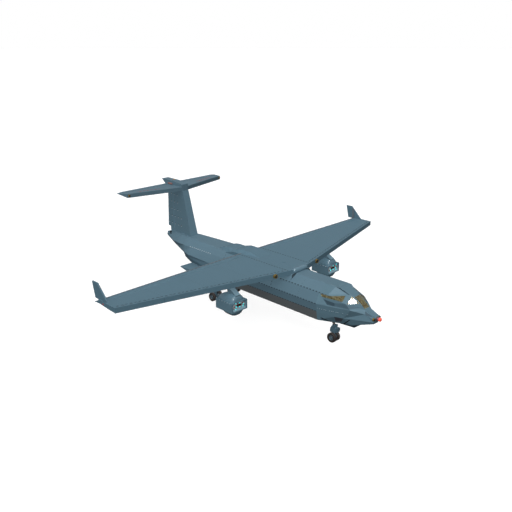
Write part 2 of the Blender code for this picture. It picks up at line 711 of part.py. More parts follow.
def make_rear():
    """The rising rear fuselage with its ramp opening, and the closed tail behind it."""
    rear_rings_list = rear_rings(REAR_JOINT_Y, TAIL_JOINT_Y)
    rear = loft("fuselage_rear", rear_rings_list, "blue_grey_paint")
    rear_whole = copy_of(rear, "t_rear")
    first = [(x, y - 0.1, z) for x, y, z in rear_rings_list[0]]
    last = [(x, y + 0.1, z) for x, y, z in rear_rings_list[-1]]
    inner = [inset(ring, WALL) for ring in [first, *rear_rings_list, last]]
    carve(rear, loft("t", inner, "cabin_lining"))
    half = RAMP_HALF + PANEL_CLEARANCE
    carve(rear, box("t", (-half, RAMP_HINGE[0] - 0.075, 2.0), (half, 10.0, 4.3), "dark_trim"))
    tail_rings = rear_rings(TAIL_JOINT_Y + 0.0001, 15.0)
    tail_rings[0] = [(x, TAIL_JOINT_Y + GAP, z) for x, y, z in tail_rings[0]]
    tail = loft("fuselage_tail", tail_rings, "blue_grey_paint")
    tail_whole = copy_of(tail, "t_tail")
    cavity = [inset(ring, WALL) for ring in tail_rings[:3]]
    cavity[0] = [(x, y - 0.1, z) for x, y, z in cavity[0]]
    cavity[2] = [(x, y - 0.4, z) for x, y, z in cavity[2]]
    carve(tail, loft("t", cavity, "cabin_lining"))
    half = AFT_DOOR_HALF + PANEL_CLEARANCE
    carve(tail, box("t", (-half, 9.0, 3.6), (half, AFT_DOOR_HINGE[0] + 0.05, 4.75), "dark_trim"))
    return rear, tail, rear_whole, tail_whole


def make_ramp():
    """The cargo ramp, hinged at its front, and the aft door, hinged at its rear."""
    y, z = RAMP_HINGE
    outline = [
        (y - 0.02, z - 0.06), (9.42, 3.76), (9.42, 4.08), (9.34, 4.08), (9.34, 3.90), (y - 0.02, z + 0.06),
    ]
    ramp = prism("cargo_ramp", outline, "x", -RAMP_HALF, RAMP_HALF, "blue_grey_paint")
    reach = PANEL_CLEARANCE - GAP
    for side in (-1, 1):
        start = side * (RAMP_HALF - 0.05)
        end = side * (RAMP_HALF + reach)
        join(ramp, rod("t", (0, y, z), "x", 0.04, min(start, end), max(start, end), "bare_metal", 16))
    hang(ramp, (0, y, z))
    y, z = AFT_DOOR_HINGE
    outline = [(9.47, 4.13), (y, z - 0.05), (y + 0.02, z), (y, z + 0.05), (9.47, 4.22)]
    door = prism("aft_cargo_door", outline, "x", -AFT_DOOR_HALF, AFT_DOOR_HALF, "blue_grey_paint")
    for side in (-1, 1):
        start = side * (AFT_DOOR_HALF - 0.05)
        end = side * (AFT_DOOR_HALF + reach)
        join(door, rod("t", (0, y, z), "x", 0.04, min(start, end), max(start, end), "bare_metal", 16))
    hang(door, (0, y, z))


def make_hold_floor():
    low = BELLY + WALL + GAP
    rear = RAMP_HINGE[0] - 0.12
    outline = [(-9.45, low), (REAR_JOINT_Y, low), (rear, low + 0.06), (rear, low + 0.14), (-9.45, low + 0.14)]
    prism("cargo_floor", outline, "x", -1.60, 1.60, "floor_plate")


def make_sponsons(fuselage):
    """The fairings beside the main gear, each ending in a flat blade."""
    stations = [
        (1.3, 1.70, 2.10, 2.75, 3.35), (2.2, 1.70, 2.90, 2.30, 3.45), (4.0, 1.70, 3.15, 2.15, 3.46),
        (6.2, 1.70, 3.25, 2.45, 3.46), (8.2, 1.60, 3.25, 3.28, 3.46),
    ]
    rings = [[(a, y, top), (b, y, top), (b, y, (low + top) / 2), (b - 0.3, y, low), (a, y, low)] for y, a, b, low, top in stations]
    port = loft("sponson_left", rings, "blue_grey_paint")
    for part in fuselage:
        carve(port, copy_of(part, "t", (GAP, 0, -GAP)))
    mirrored(port, "sponson_right")


def pod_ring(y, half, crown, keel, steps=18):
    """A rounded section of the engine pod, with its own height above and below the shaft."""
    ring = []
    for i in range(steps):
        angle = 2 * math.pi * i / steps
        across = math.copysign(abs(math.cos(angle)) ** 0.75, math.cos(angle))
        up = math.copysign(abs(math.sin(angle)) ** 0.75, math.sin(angle))
        rise = crown - ENGINE_AXIS_Z if up > 0 else ENGINE_AXIS_Z - keel
        ring.append((ENGINE_X + half * across, y, ENGINE_AXIS_Z + rise * up))
    return ring


def make_engines(wing):
    """Round pods in angular boxes with an open duct, their fans, cores and slanted pylons."""
    stations = [
        (-4.56, 0.52, 4.30, 3.50), (-4.54, 0.64, 4.58, 3.34), (-4.49, 0.70, 4.76, 3.14), (-4.38, 0.75, 4.90, 2.98),
        (-4.18, 0.78, 4.97, 2.89), (-3.65, 0.78, 4.99, 2.86), (-3.20, 0.76, 4.91, 2.90), (-2.85, 0.72, 4.76, 3.04),
        (-2.42, 0.65, 4.56, 3.30),
    ]
    outer = loft("nacelle_left", [pod_ring(*s) for s in stations], "blue_grey_paint", smooth=True)
    wide = ENGINE_BOX_HALF
    low = (ENGINE_X - wide, ENGINE_FRONT_Y, 3.44)
    high = (ENGINE_X + wide, ENGINE_REAR_Y, 4.36)
    join(outer, box("t", low, high, "blue_grey_paint"))
    whole = copy_of(outer, "t_nacelle")
    steps = 24
    duct_rings = []
    for y, across, up, centre_z, roundness in (
            (-4.80, 0.88, 0.36, 3.91, 0.40), (-4.60, 0.80, 0.38, 3.91, 0.45), (-4.42, 0.62, 0.46, 3.92, 0.70),
            (-4.25, DUCT_RADIUS, DUCT_RADIUS, ENGINE_AXIS_Z, 1.0), (-2.4, DUCT_RADIUS, DUCT_RADIUS, ENGINE_AXIS_Z, 1.0)):
        ring = []
        for i in range(steps):
            angle = 2 * math.pi * (i + 0.5) / steps
            u = math.copysign(abs(math.cos(angle)) ** roundness, math.cos(angle))
            v = math.copysign(abs(math.sin(angle)) ** roundness, math.sin(angle))
            ring.append((ENGINE_X + across * u, y, centre_z + up * v))
        duct_rings.append(ring)
    carve(outer, loft("t", duct_rings, "bare_metal"))
    mirrored(outer, "nacelle_right")
    centre = (ENGINE_X, 0, ENGINE_AXIS_Z)
    core = turned("engine_core_left", [(0.20, -3.86), (0.30, -3.70), (0.30, -2.9), (0.16, -2.42)], centre, "y", 16, "engine_metal")
    arm = DUCT_RADIUS * math.cos(math.pi / steps) - GAP
    for axis in ("x", "z"):
        half = (arm, 0.04) if axis == "x" else (0.04, arm)
        low = (ENGINE_X - half[0], -3.35, ENGINE_AXIS_Z - half[1])
        high = (ENGINE_X + half[0], -3.15, ENGINE_AXIS_Z + half[1])
        join(core, box("t", low, high, "bare_metal"))
    mirrored(core, "engine_core_right")
    make_fan()
    side = [
        (-4.30, 4.60), (-4.48, 4.92), (-3.61, 5.40), (-3.05, 5.80), (-2.90, 5.95), (-2.30, 5.95),
        (-2.52, 5.75), (-3.30, 5.30), (-3.62, 4.92), (-3.72, 4.60),
    ]
    pylon = prism("pylon_left", side, "x", ENGINE_X - 0.28, ENGINE_X + 0.28, "blue_grey_paint")
    carve(pylon, wing, keep_tool=True)
    whole.data.transform(Matrix.Translation((0, 0, GAP)))
    carve(pylon, whole)
    mirrored(pylon, "pylon_right")


def make_fan():
    """A bladed disc on a spinner, with a shaft that reaches the core block."""
    centre = (ENGINE_X, 0, ENGINE_AXIS_Z)
    spinner = [(0.02, FAN_Y - 0.22), (0.08, FAN_Y - 0.17), (0.13, FAN_Y - 0.06), (0.14, FAN_Y + 0.05), (0.10, FAN_Y + 0.07), (0.10, -3.86 - GAP)]
    fan = turned("fan_left", spinner, centre, "y", 16, "bare_metal")
    blades = 12
    for i in range(blades):
        blade = box("t", (0.09, -0.012, -0.07), (FAN_RADIUS, 0.012, 0.07), "engine_metal")
        blade.data.transform(Matrix.Rotation(math.radians(32), 4, "X"))
        blade.data.transform(Matrix.Rotation(2 * math.pi * i / blades, 4, "Y"))
        blade.data.transform(Matrix.Translation((ENGINE_X, FAN_Y, ENGINE_AXIS_Z)))
        join(fan, blade)
    hang(fan, (ENGINE_X, FAN_Y, ENGINE_AXIS_Z))
    mirrored(fan, "fan_right")


def make_tail(fuselage_tail):
    """Fin, rudder, the beam on top of the fin, tailplanes and elevators."""
    def fin_ring(z):
        share = (z - 5.8) / (FIN_TOP - 5.8)
        front = 9.66 + (10.92 - 9.66) * share
        half = 0.51 + (0.41 - 0.51) * share
        tail = 14.22 - 0.22 * share
        return front, half, tail
    rings = []
    for z in (5.30, FIN_TOP - GAP):
        front, half, tail = fin_ring(z)
        rings.append([(half, front, z), (0.05, tail, z), (-0.05, tail, z), (-half, front, z)])
    fin = loft("fin", rings, "blue_grey_paint")
    rudder = copy_of(fin, "rudder")
    carve(fin, copy_of(fuselage_tail, "t", (0, 0, GAP)))
    carve(fin, box("t", (-1, 13.72, 5.0), (1, 16, 12), "dark_trim"))
    gap_front = RUDDER_AXIS_Y - 0.045
    carve(fin, box("t", (-1, gap_front, RUDDER_BOTTOM - PANEL_CLEARANCE), (1, 16, RUDDER_TOP + PANEL_CLEARANCE), "dark_trim"))
    carve(rudder, box("t", (-1, 5, 0), (1, 16, RUDDER_BOTTOM), "dark_trim"))
    carve(rudder, box("t", (-1, 5, RUDDER_TOP), (1, 16, 12), "dark_trim"))
    nose_y = RUDDER_AXIS_Y - 0.018
    carve(rudder, box("t", (-1, 5, 0), (1, nose_y, 12), "dark_trim"))
    for side in (1, -1):
        corner = [(side * 0.015, nose_y - 0.1), (side * 0.015, nose_y), (side * 0.3, nose_y + 0.22), (side * 0.3, nose_y - 0.1)]
        carve(rudder, prism("t", corner, "z", 5.5, 12, "dark_trim"))
    reach = PANEL_CLEARANCE - GAP
    for start, end in ((RUDDER_BOTTOM - reach, RUDDER_BOTTOM + 0.06), (RUDDER_TOP - 0.06, RUDDER_TOP + reach)):
        join(rudder, rod("t", (0, RUDDER_AXIS_Y, 0), "z", 0.025, start, end, "bare_metal", 12))
    hang(rudder, (0, RUDDER_AXIS_Y, 8.3))
    make_tailplane()


def tail_front(x):
    return 11.03 + 0.245 * (abs(x) - 0.6)


def tail_ring(x):
    """The tailplane's section: a blunt leading edge and a thin trailing edge."""
    return [
        (x, tail_front(x), TAILPLANE_TOP), (x, tail_front(x) + 0.04, TAILPLANE_UNDER),
        (x, TAILPLANE_REAR_Y, TAILPLANE_TOP - 0.10), (x, TAILPLANE_REAR_Y, TAILPLANE_TOP - 0.02),
    ]


def tail_level(y, x):
    """The heights of the tailplane's upper and lower skins."""
    share = (y - tail_front(x)) / (TAILPLANE_REAR_Y - tail_front(x))
    top = TAILPLANE_TOP - 0.02 * share
    under = TAILPLANE_UNDER + (TAILPLANE_TOP - 0.10 - TAILPLANE_UNDER) * share
    return top, under


def make_tailplane():
    """Two tailplanes with swept pointed tips, their elevators, and the beam between them."""
    root = 0.42
    low, high = 0.75, 6.20
    tip = tail_ring(TAILPLANE_TIP_X)
    tip[2] = (TAILPLANE_TIP_X + 0.35, TAILPLANE_REAR_Y + 0.06, TAILPLANE_TOP - 0.13)
    tip[3] = (TAILPLANE_TIP_X + 0.35, TAILPLANE_REAR_Y + 0.06, TAILPLANE_TOP - 0.10)
    plane = loft("tailplane_left", [tail_ring(root + GAP), tail_ring(high), tip], "blue_grey_paint")
    whole = copy_of(plane, "t_tailplane", (0, -GAP, 0))
    front = ELEVATOR_AXIS_Y - HINGE_GAP
    carve(plane, box("t", (low, front, 10), (high, 15, 12), "dark_trim"))
    mirrored(plane, "tailplane_right")
    top, under = tail_level(ELEVATOR_AXIS_Y, high)
    height = (top + under) / 2
    rings = []
    a = low + PANEL_CLEARANCE
    b = high - PANEL_CLEARANCE
    for x in (a, b):
        shoulder = ELEVATOR_AXIS_Y + 0.11
        top, under = tail_level(shoulder, x)
        rings.append([
            (x, shoulder, top), (x, ELEVATOR_AXIS_Y - 0.015, height + 0.012), (x, ELEVATOR_AXIS_Y - 0.015, height - 0.012),
            (x, shoulder, under), (x, TAILPLANE_REAR_Y, TAILPLANE_TOP - 0.10), (x, TAILPLANE_REAR_Y, TAILPLANE_TOP - 0.02),
        ])
    elevator = loft("elevator_left", rings, "blue_grey_paint")
    reach = PANEL_CLEARANCE - GAP
    for start, end in ((a - reach, a + 0.05), (b - 0.05, b + reach)):
        join(elevator, rod("t", (0, ELEVATOR_AXIS_Y, height), "x", PIN_RADIUS, start, end, "bare_metal", 12))
    hang(elevator, ((low + high) / 2, ELEVATOR_AXIS_Y, height))
    mirrored(elevator, "elevator_right")
    outline = [
        (11.00, FIN_TOP), (11.00, 11.42), (11.10, 11.45), (12.70, 11.60), (14.52, 11.60), (14.56, 11.56),
        (14.04, 11.17), (13.60, FIN_TOP),
    ]
    prism("tail_beam", outline, "x", -root, root, "blue_grey_paint")
    turned("beacon_lamp", [(0.11, 11.60 + GAP), (0.11, 11.64), (0.07, 11.70), (0.02, 11.72)], (0.0, 12.9, 0.0), "z", 12, "amber_lamp")
    make_lamp("tailplane_lamp", (6.27, tail_front(6.27) - 0.02, 10.95), 0.13, whole)
    bpy.data.objects.remove(whole)


def make_lamp(name, centre, radius, carrier):
    """A round lamp on a leading edge, seated against the piece that carries it."""
    profile = [(radius * 0.7, -0.06), (radius, -0.04), (radius, 0.12)]
    lamp = turned(name + "_left", profile, centre, "y", 16, "clear_lamp")
    carve(lamp, carrier, keep_tool=True)
    mirrored(lamp, name + "_right")


def wheel_pair(name, centres, y, radius):
    """Two tyres on their hubs, held together by one axle."""
    pair = None
    w = WHEEL_HALF_WIDTH
    low = min(centres) - w
    high = max(centres) + w
    steps = 28
    flat = 1 / math.cos(math.pi / steps)
    for x in centres:
        profile = [
            (radius * 0.50, -w * 0.55), (radius * 0.56, -w * 0.95), (radius * 0.80, -w), (radius * 0.94, -w * 0.80),
            (radius, -w * 0.42), (radius, w * 0.42), (radius * 0.94, w * 0.80), (radius * 0.80, w),
            (radius * 0.56, w * 0.95), (radius * 0.50, w * 0.55),
        ]
        profile = [(r * flat, along) for r, along in profile]
        tyre = turned(name, profile, (x, y, radius), "x", steps, "tyre_rubber")
        pair = join(pair, tyre) if pair else tyre
    axle = rod("t", (0, y, radius), "x", AXLE_RADIUS, low + 0.02, high - 0.02, "hub_metal", 24)
    join(pair, axle)
    pair.name = name
    hang(pair, ((min(centres) + max(centres)) / 2, y, radius))
    return pair


def make_main_gear(fuselage):
    """A strut under each side of the belly, holding a pair of wheels at its foot."""
    x = sum(MAIN_WHEEL_X) / 2
    radius = MAIN_WHEEL_RADIUS
    leg = rod("main_gear_leg_left", (x, MAIN_GEAR_Y, 0), "z", 0.12, 0.62, BELLY + 0.5, "blue_grey_paint", 20)
    join(leg, rod("t", (x, MAIN_GEAR_Y, 0), "z", 0.17, 1.25, BELLY + 0.5, "blue_grey_paint", 20))
    join(leg, box("t", (x - 0.14, MAIN_GEAR_Y - 0.15, radius - 0.15), (x + 0.14, MAIN_GEAR_Y + 0.15, radius + 0.20), "blue_grey_paint"))
    carve(leg, rod("t", (0, MAIN_GEAR_Y, radius), "x", AXLE_BORE, 0.5, 2.5, "dark_trim", 24))
    for part in fuselage:
        carve(leg, copy_of(part, "t", (0, 0, -GAP)))
    mirrored(leg, "main_gear_leg_right")
    pair = wheel_pair("main_wheels_left", MAIN_WHEEL_X, MAIN_GEAR_Y, radius)
    mirrored(pair, "main_wheels_right")


def make_nose_gear():
    """The fixed leg, the collar and fork that steer, and the twin nose wheels."""
    y = NOSE_GEAR_Y
    joint_z = 1.72
    leg = rod("nose_gear_leg", (0, y, 0), "z", 0.09, joint_z + GAP, 3.00, "engine_metal", 20)
    beam = box("t_beam", (-0.78, y - 0.12, 2.50), (0.78, y + 0.12, 3.00), "dark_trim")
    carve(beam, cabin_hollow("t", GAP), "INTERSECT")
    join(leg, beam)
    fork = rod("nose_gear_fork", (0, y, 0), "z", 0.17, 1.06, joint_z, "blue_grey_paint", 20)
    join(fork, box("t", (-0.30, y - 0.20, 1.02), (0.30, y + 0.20, 1.45), "blue_grey_paint"))
    join(fork, box("t", (-0.22, y - 0.50, 1.08), (0.22, y - 0.15, 1.48), "blue_grey_paint"))
    join(fork, box("t", (-0.06, y - 0.12, NOSE_WHEEL_RADIUS - 0.12), (0.06, y + 0.12, 1.10), "blue_grey_paint"))
    carve(fork, rod("t", (0, y, NOSE_WHEEL_RADIUS), "x", AXLE_BORE, -0.5, 0.5, "dark_trim", 24))
    hang(fork, (0, y, joint_z))
    wheel_pair("nose_wheels", (-NOSE_WHEEL_X, NOSE_WHEEL_X), y, NOSE_WHEEL_RADIUS)


def make_lamps():
    """Landing lamps in the wing's leading edge."""
    x = 2.93
    wing = loft("t_wing_front", [wing_ring(CENTRE_HALF), wing_ring(HALF_SPAN)], "blue_grey_paint")
    wing.data.transform(Matrix.Translation((0, -GAP, 0)))
    make_lamp("landing_lamp", (x, leading_y(x) - 0.06, 5.94), 0.21, wing)
    bpy.data.objects.remove(wing)


def stand_over_origin():
    """Moves every piece so that the middle of the length is over the origin."""
    for obj in bpy.data.objects:
        obj.location.y -= MIDDLE_STATION


def main():
    clear_scene()
    wing, fairing = make_wing()
    nose = make_nose()
    make_cabin()
    center, center_whole = make_center()
    rear, tail, rear_whole, tail_whole = make_rear()
    wing_volume = outer_wing("t_wing", GAP)
    make_hump([center_whole, rear_whole])
    carve(center, center_wing("t", GAP))
    carve(center, capsule("t", GAP))
    make_ramp()
    make_hold_floor()
    make_sponsons([center_whole, rear_whole])
    make_engines(wing_volume)
    make_tail(tail_whole)
    make_winglets(wing_volume)
    make_main_gear([center_whole, rear_whole])
    make_nose_gear()
    make_lamps()
    for spare in (center_whole, rear_whole, tail_whole, wing_volume):
        bpy.data.objects.remove(spare)
    stand_over_origin()


main()
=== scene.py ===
# %% [markdown]
# # A military transport plane, dressed over its CAD model
# The frame holds the solids of the aircraft: hull, wing, engines, tail and gear. Here each
# of them gets its paint, glass, rubber or metal, and the small things that a solid model
# leaves out are modelled on top: tyres and hubs, lamp rings, rivet heads, cushions and links.
# Lengths are in metres. The nose points along -Y, the port wing along +X.

# %% Load the frame
import math

import bpy
from mathutils import Matrix, Vector


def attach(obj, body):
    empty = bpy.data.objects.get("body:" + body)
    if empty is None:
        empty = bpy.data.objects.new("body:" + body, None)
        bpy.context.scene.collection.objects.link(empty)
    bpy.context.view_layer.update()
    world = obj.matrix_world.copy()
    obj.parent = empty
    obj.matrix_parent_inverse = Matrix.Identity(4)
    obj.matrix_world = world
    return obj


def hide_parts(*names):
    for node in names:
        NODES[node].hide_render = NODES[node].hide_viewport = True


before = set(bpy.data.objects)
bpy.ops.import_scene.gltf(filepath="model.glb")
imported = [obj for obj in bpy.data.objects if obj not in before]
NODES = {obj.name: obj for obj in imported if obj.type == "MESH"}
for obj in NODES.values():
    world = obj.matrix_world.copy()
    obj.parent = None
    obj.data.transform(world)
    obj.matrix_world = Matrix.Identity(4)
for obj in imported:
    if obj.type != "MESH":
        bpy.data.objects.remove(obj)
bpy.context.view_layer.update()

# %% [markdown]
# ## Where things are
# Stations are distances along the hull that were used when the solids were drawn. The
# middle of the length stands over the origin, so a station becomes a Y by adding a shift.

# %% Places that several cells share
SHIFT = 0.27
SWEEP = 0.263
TIP_LEADING_Y = -1.56 + SHIFT
HALF_SPAN = 17.5
WHEEL_RADIUS = 0.47
WHEEL_HALF = 0.15
NOSE_AXLE = (0.0, -10.14 + SHIFT, 0.47)
MAIN_AXLE = (1.33, 4.76 + SHIFT, 0.47)
ENGINE_X = 6.71
ENGINE_Z = 3.94


def leading_y(x):
    """Y of the wing's leading edge at a distance from the middle."""
    return TIP_LEADING_Y - SWEEP * (HALF_SPAN - abs(x))


# %% [markdown]
# ## Helpers for modelling
# An edit operator acts on whatever is selected, so each cell starts by deselecting
# everything and then picks faces by where they are or which way they look. A finished
# piece is applied, so that its object sits at the origin and its place is in its mesh.

# %% Selecting, finishing and copying
def only(obj):
    """Leaves just this object selected and active."""
    if bpy.context.mode != "OBJECT":
        bpy.ops.object.mode_set(mode="OBJECT")
    bpy.ops.object.select_all(action="DESELECT")
    obj.select_set(True)
    bpy.context.view_layer.objects.active = obj


def edit_faces(obj, test):
    """Opens edit mode with the faces selected whose middle and normal pass the test."""
    only(obj)
    bpy.ops.object.mode_set(mode="EDIT")
    bpy.ops.mesh.select_mode(type="FACE")
    bpy.ops.mesh.select_all(action="DESELECT")
    bpy.ops.object.mode_set(mode="OBJECT")
    turn = obj.matrix_world.to_3x3()
    for face in obj.data.polygons:
        face.select = bool(test(obj.matrix_world @ face.center, turn @ face.normal))
    bpy.ops.object.mode_set(mode="EDIT")


def edit_edges(obj, test):
    """Opens edit mode with the edges selected whose two ends pass the test."""
    only(obj)
    bpy.ops.object.mode_set(mode="EDIT")
    bpy.ops.mesh.select_mode(type="EDGE")
    bpy.ops.mesh.select_all(action="DESELECT")
    bpy.ops.object.mode_set(mode="OBJECT")
    ends = [obj.matrix_world @ v.co for v in obj.data.vertices]
    for edge in obj.data.edges:
        edge.select = bool(test(ends[edge.vertices[0]], ends[edge.vertices[1]]))
    bpy.ops.object.mode_set(mode="EDIT")


def done_editing():
    """Back to object mode."""
    if bpy.context.mode != "OBJECT":
        bpy.ops.object.mode_set(mode="OBJECT")


def settle(obj, name, finish, smooth_angle=30):
    """Applies the transforms, smooths round faces and gives the finish."""
    only(obj)
    obj.name = name
    obj.data.name = name
    bpy.ops.object.transform_apply(location=True, rotation=True, scale=True)
    if smooth_angle:
        bpy.ops.object.shade_smooth_by_angle(angle=math.radians(smooth_angle))
    obj.data.materials.clear()
    obj.data.materials.append(finish)
    return obj


def copy_piece(obj, name, move=(0, 0, 0), flip=False):
    """A copy with its own mesh, moved, or mirrored to the other side of the aircraft."""
    made = obj.copy()
    made.data = obj.data.copy()
    made.name = name
    made.data.name = name
    bpy.context.scene.collection.objects.link(made)
    if flip:
        made.data.transform(Matrix.Scale(-1, 4, Vector((1, 0, 0))))
        made.data.flip_normals()
    made.data.transform(Matrix.Translation(move))
    return made


def merge(pieces, name):
    """Joins several objects into one."""
    bpy.ops.object.select_all(action="DESELECT")
    for piece in pieces:
        piece.select_set(True)
    bpy.context.view_layer.objects.active = pieces[0]
    bpy.ops.object.join()
    pieces[0].name = name
    pieces[0].data.name = name
    return pieces[0]


def drum(place, axis, radius, depth, vertices=32):
    """A cylinder primitive about one of the three axes."""
    done_editing()
    bpy.ops.object.select_all(action="DESELECT")
    turn = {"x": (0, math.pi / 2, 0), "y": (math.pi / 2, 0, 0), "z": (0, 0, 0)}[axis]
    bpy.ops.mesh.primitive_cylinder_add(
        vertices=vertices, radius=radius, depth=depth, location=place, rotation=turn)
    return bpy.context.object


def block(place, size):
    """A cube primitive of a given size."""
    done_editing()
    bpy.ops.object.select_all(action="DESELECT")
    bpy.ops.mesh.primitive_cube_add(size=1, location=place)
    bpy.context.object.scale = size
    bpy.ops.object.transform_apply(location=False, rotation=False, scale=True)
    return bpy.context.object


def soften(obj, width, segments=2):
    """A bevel modifier on the sharp edges, applied."""
    only(obj)
    step = obj.modifiers.new("soften", "BEVEL")
    step.width = width
    step.segments = segments
    step.limit_method = "ANGLE"
    bpy.ops.object.modifier_apply(modifier=step.name)
    return obj


# %% [markdown]
# ## Helpers for materials
# Node trees are built in code. `add` places a node and wires or sets its inputs, and
# `maths` is the shorthand for the many small sums that draw seams and rivets.

# %% Placing nodes
def add(tree, kind, inputs=None, **settings):
    """A new node, its settings made and its inputs wired or set."""
    node = tree.nodes.new(kind)
    for key, value in settings.items():
        setattr(node, key, value)
    for key, value in (inputs or {}).items():
        socket = node.inputs[key]
        if isinstance(value, bpy.types.NodeSocket):
            tree.links.new(value, socket)
        else:
            socket.default_value = value
    return node


def maths(tree, operation, a, b=0.0):
    """The output of one sum."""
    return add(tree, "ShaderNodeMath", {0: a, 1: b}, operation=operation).outputs[0]


def blend_colour(tree, share, first, second):
    """The first colour turned into the second by a share."""
    return add(tree, "ShaderNodeMix", {0: share, 6: first, 7: second}, data_type="RGBA").outputs[2]


def new_group(name, inputs, outputs):
    """A shader node group with named sockets. Returns its tree, its inputs and its output node."""
    tree = bpy.data.node_groups.new(name, "ShaderNodeTree")
    kinds = {"v": "NodeSocketVector", "f": "NodeSocketFloat", "c": "NodeSocketColor"}
    for label, kind, value in inputs:
        socket = tree.interface.new_socket(label, in_out="INPUT", socket_type=kinds[kind])
        if value is not None:
            socket.default_value = value
    for label, kind in outputs:
        tree.interface.new_socket(label, in_out="OUTPUT", socket_type=kinds[kind])
    return tree, tree.nodes.new("NodeGroupInput"), tree.nodes.new("NodeGroupOutput")


def use_group(tree, group, inputs):
    """A node that stands for a group."""
    return add(tree, "ShaderNodeGroup", inputs, node_tree=group)


# %% [markdown]
# ## Weathered paint
# Military paint is matt and never quite even: panels fade in soft clouds, rain draws
# faint streaks backwards, and the sprayed film has a fine grain. The group takes the
# paint's colour and puts out the changed colour, a roughness and a height for a bump.

# %% The paint group
def centred(noise, amount):
    """A noise about nought in the paint group, times an amount."""
    return maths(paint_group, "MULTIPLY", maths(paint_group, "SUBTRACT", noise.outputs["Fac"], 0.5), amount)


paint_group, inlet, outlet = new_group(
    "weathered_paint",
    [("Vector", "v", None), ("Paint", "c", (0.1, 0.17, 0.2, 1)), ("Fading", "f", 0.10),
     ("Streaks", "f", 0.06), ("Roughness", "f", 0.5)],
    [("Color", "c"), ("Roughness", "f"), ("Height", "f")],
)
place = inlet.outputs["Vector"]
clouds = add(paint_group, "ShaderNodeTexNoise",
             {"Vector": place, "Scale": 0.45, "Detail": 5.0, "Roughness": 0.6})
stretched = add(paint_group, "ShaderNodeMapping", {"Vector": place, "Scale": (6.0, 0.5, 6.0)}).outputs[0]
streaks = add(paint_group, "ShaderNodeTexNoise", {"Vector": stretched, "Scale": 1.0, "Detail": 3.0})
grain = add(paint_group, "ShaderNodeTexNoise", {"Vector": place, "Scale": 45.0, "Detail": 2.0})
cloud_part = centred(clouds, inlet.outputs["Fading"])
streak_part = centred(streaks, inlet.outputs["Streaks"])
change = maths(paint_group, "ADD", maths(paint_group, "ADD", cloud_part, streak_part), 1.0)
tone = add(paint_group, "ShaderNodeVectorMath",
           {0: inlet.outputs["Paint"], "Scale": change}, operation="SCALE")
rough_change = maths(paint_group, "MULTIPLY", cloud_part, 0.8)
rough = maths(paint_group, "ADD", inlet.outputs["Roughness"], rough_change)
height = maths(paint_group, "MULTIPLY", grain.outputs["Fac"], 0.004)
paint_group.links.new(tone.outputs[0], outlet.inputs["Color"])
paint_group.links.new(rough, outlet.inputs["Roughness"])
paint_group.links.new(height, outlet.inputs["Height"])
print("group:", paint_group.name, len(paint_group.nodes), "nodes")

# %% [markdown]
# ## Seams and rivets
# A panel joint reads from a distance as a row of short dark dashes. The seam group is
# given two measures of a point, how far it is across the seam and how far along it, and
# puts out 1 inside a dash. The rivet group does the same with round dots. The third group
# puts out 1 on the left of a straight edge, so a few of them fence a patch.

# %% The seam, rivet and edge groups
LINE_INPUTS = [("Across", "f", 0.0), ("At", "f", 0.0), ("Along", "f", 0.0), ("Pitch", "f", 0.3),
               ("From", "f", -100.0), ("To", "f", 100.0)]


def inside(tree, source):
    """1 between the From and To of a row."""
    after = maths(tree, "GREATER_THAN", source.outputs["Along"], source.outputs["From"])
    before = maths(tree, "LESS_THAN", source.outputs["Along"], source.outputs["To"])
    return maths(tree, "MULTIPLY", after, before)


def share_of_pitch(tree, source):
    """How far a point is through the pitch of its row, from 0 to 1."""
    return maths(tree, "FRACT", maths(tree, "DIVIDE", source.outputs["Along"], source.outputs["Pitch"]))


seam_group, inlet, outlet = new_group(
    "panel_seam", LINE_INPUTS + [("Width", "f", 0.05), ("Fill", "f", 0.6)], [("Mask", "f")])
across = maths(seam_group, "SUBTRACT", inlet.outputs["Across"], inlet.outputs["At"])
half_width = maths(seam_group, "MULTIPLY", inlet.outputs["Width"], 0.5)
near = maths(seam_group, "LESS_THAN", maths(seam_group, "ABSOLUTE", across), half_width)
dash = maths(seam_group, "LESS_THAN", share_of_pitch(seam_group, inlet), inlet.outputs["Fill"])
mask = maths(seam_group, "MULTIPLY", maths(seam_group, "MULTIPLY", near, dash), inside(seam_group, inlet))
seam_group.links.new(mask, outlet.inputs["Mask"])

rivet_group, inlet, outlet = new_group(
    "rivet_row", LINE_INPUTS + [("Radius", "f", 0.03)], [("Mask", "f")])
across = maths(rivet_group, "SUBTRACT", inlet.outputs["Across"], inlet.outputs["At"])
from_centre = maths(rivet_group, "SUBTRACT", share_of_pitch(rivet_group, inlet), 0.5)
along = maths(rivet_group, "MULTIPLY", from_centre, inlet.outputs["Pitch"])
across_squared = maths(rivet_group, "MULTIPLY", across, across)
spread = maths(rivet_group, "ADD", across_squared, maths(rivet_group, "MULTIPLY", along, along))
limit = maths(rivet_group, "MULTIPLY", inlet.outputs["Radius"], inlet.outputs["Radius"])
dot = maths(rivet_group, "LESS_THAN", spread, limit)
mask = maths(rivet_group, "MULTIPLY", dot, inside(rivet_group, inlet))
rivet_group.links.new(mask, outlet.inputs["Mask"])

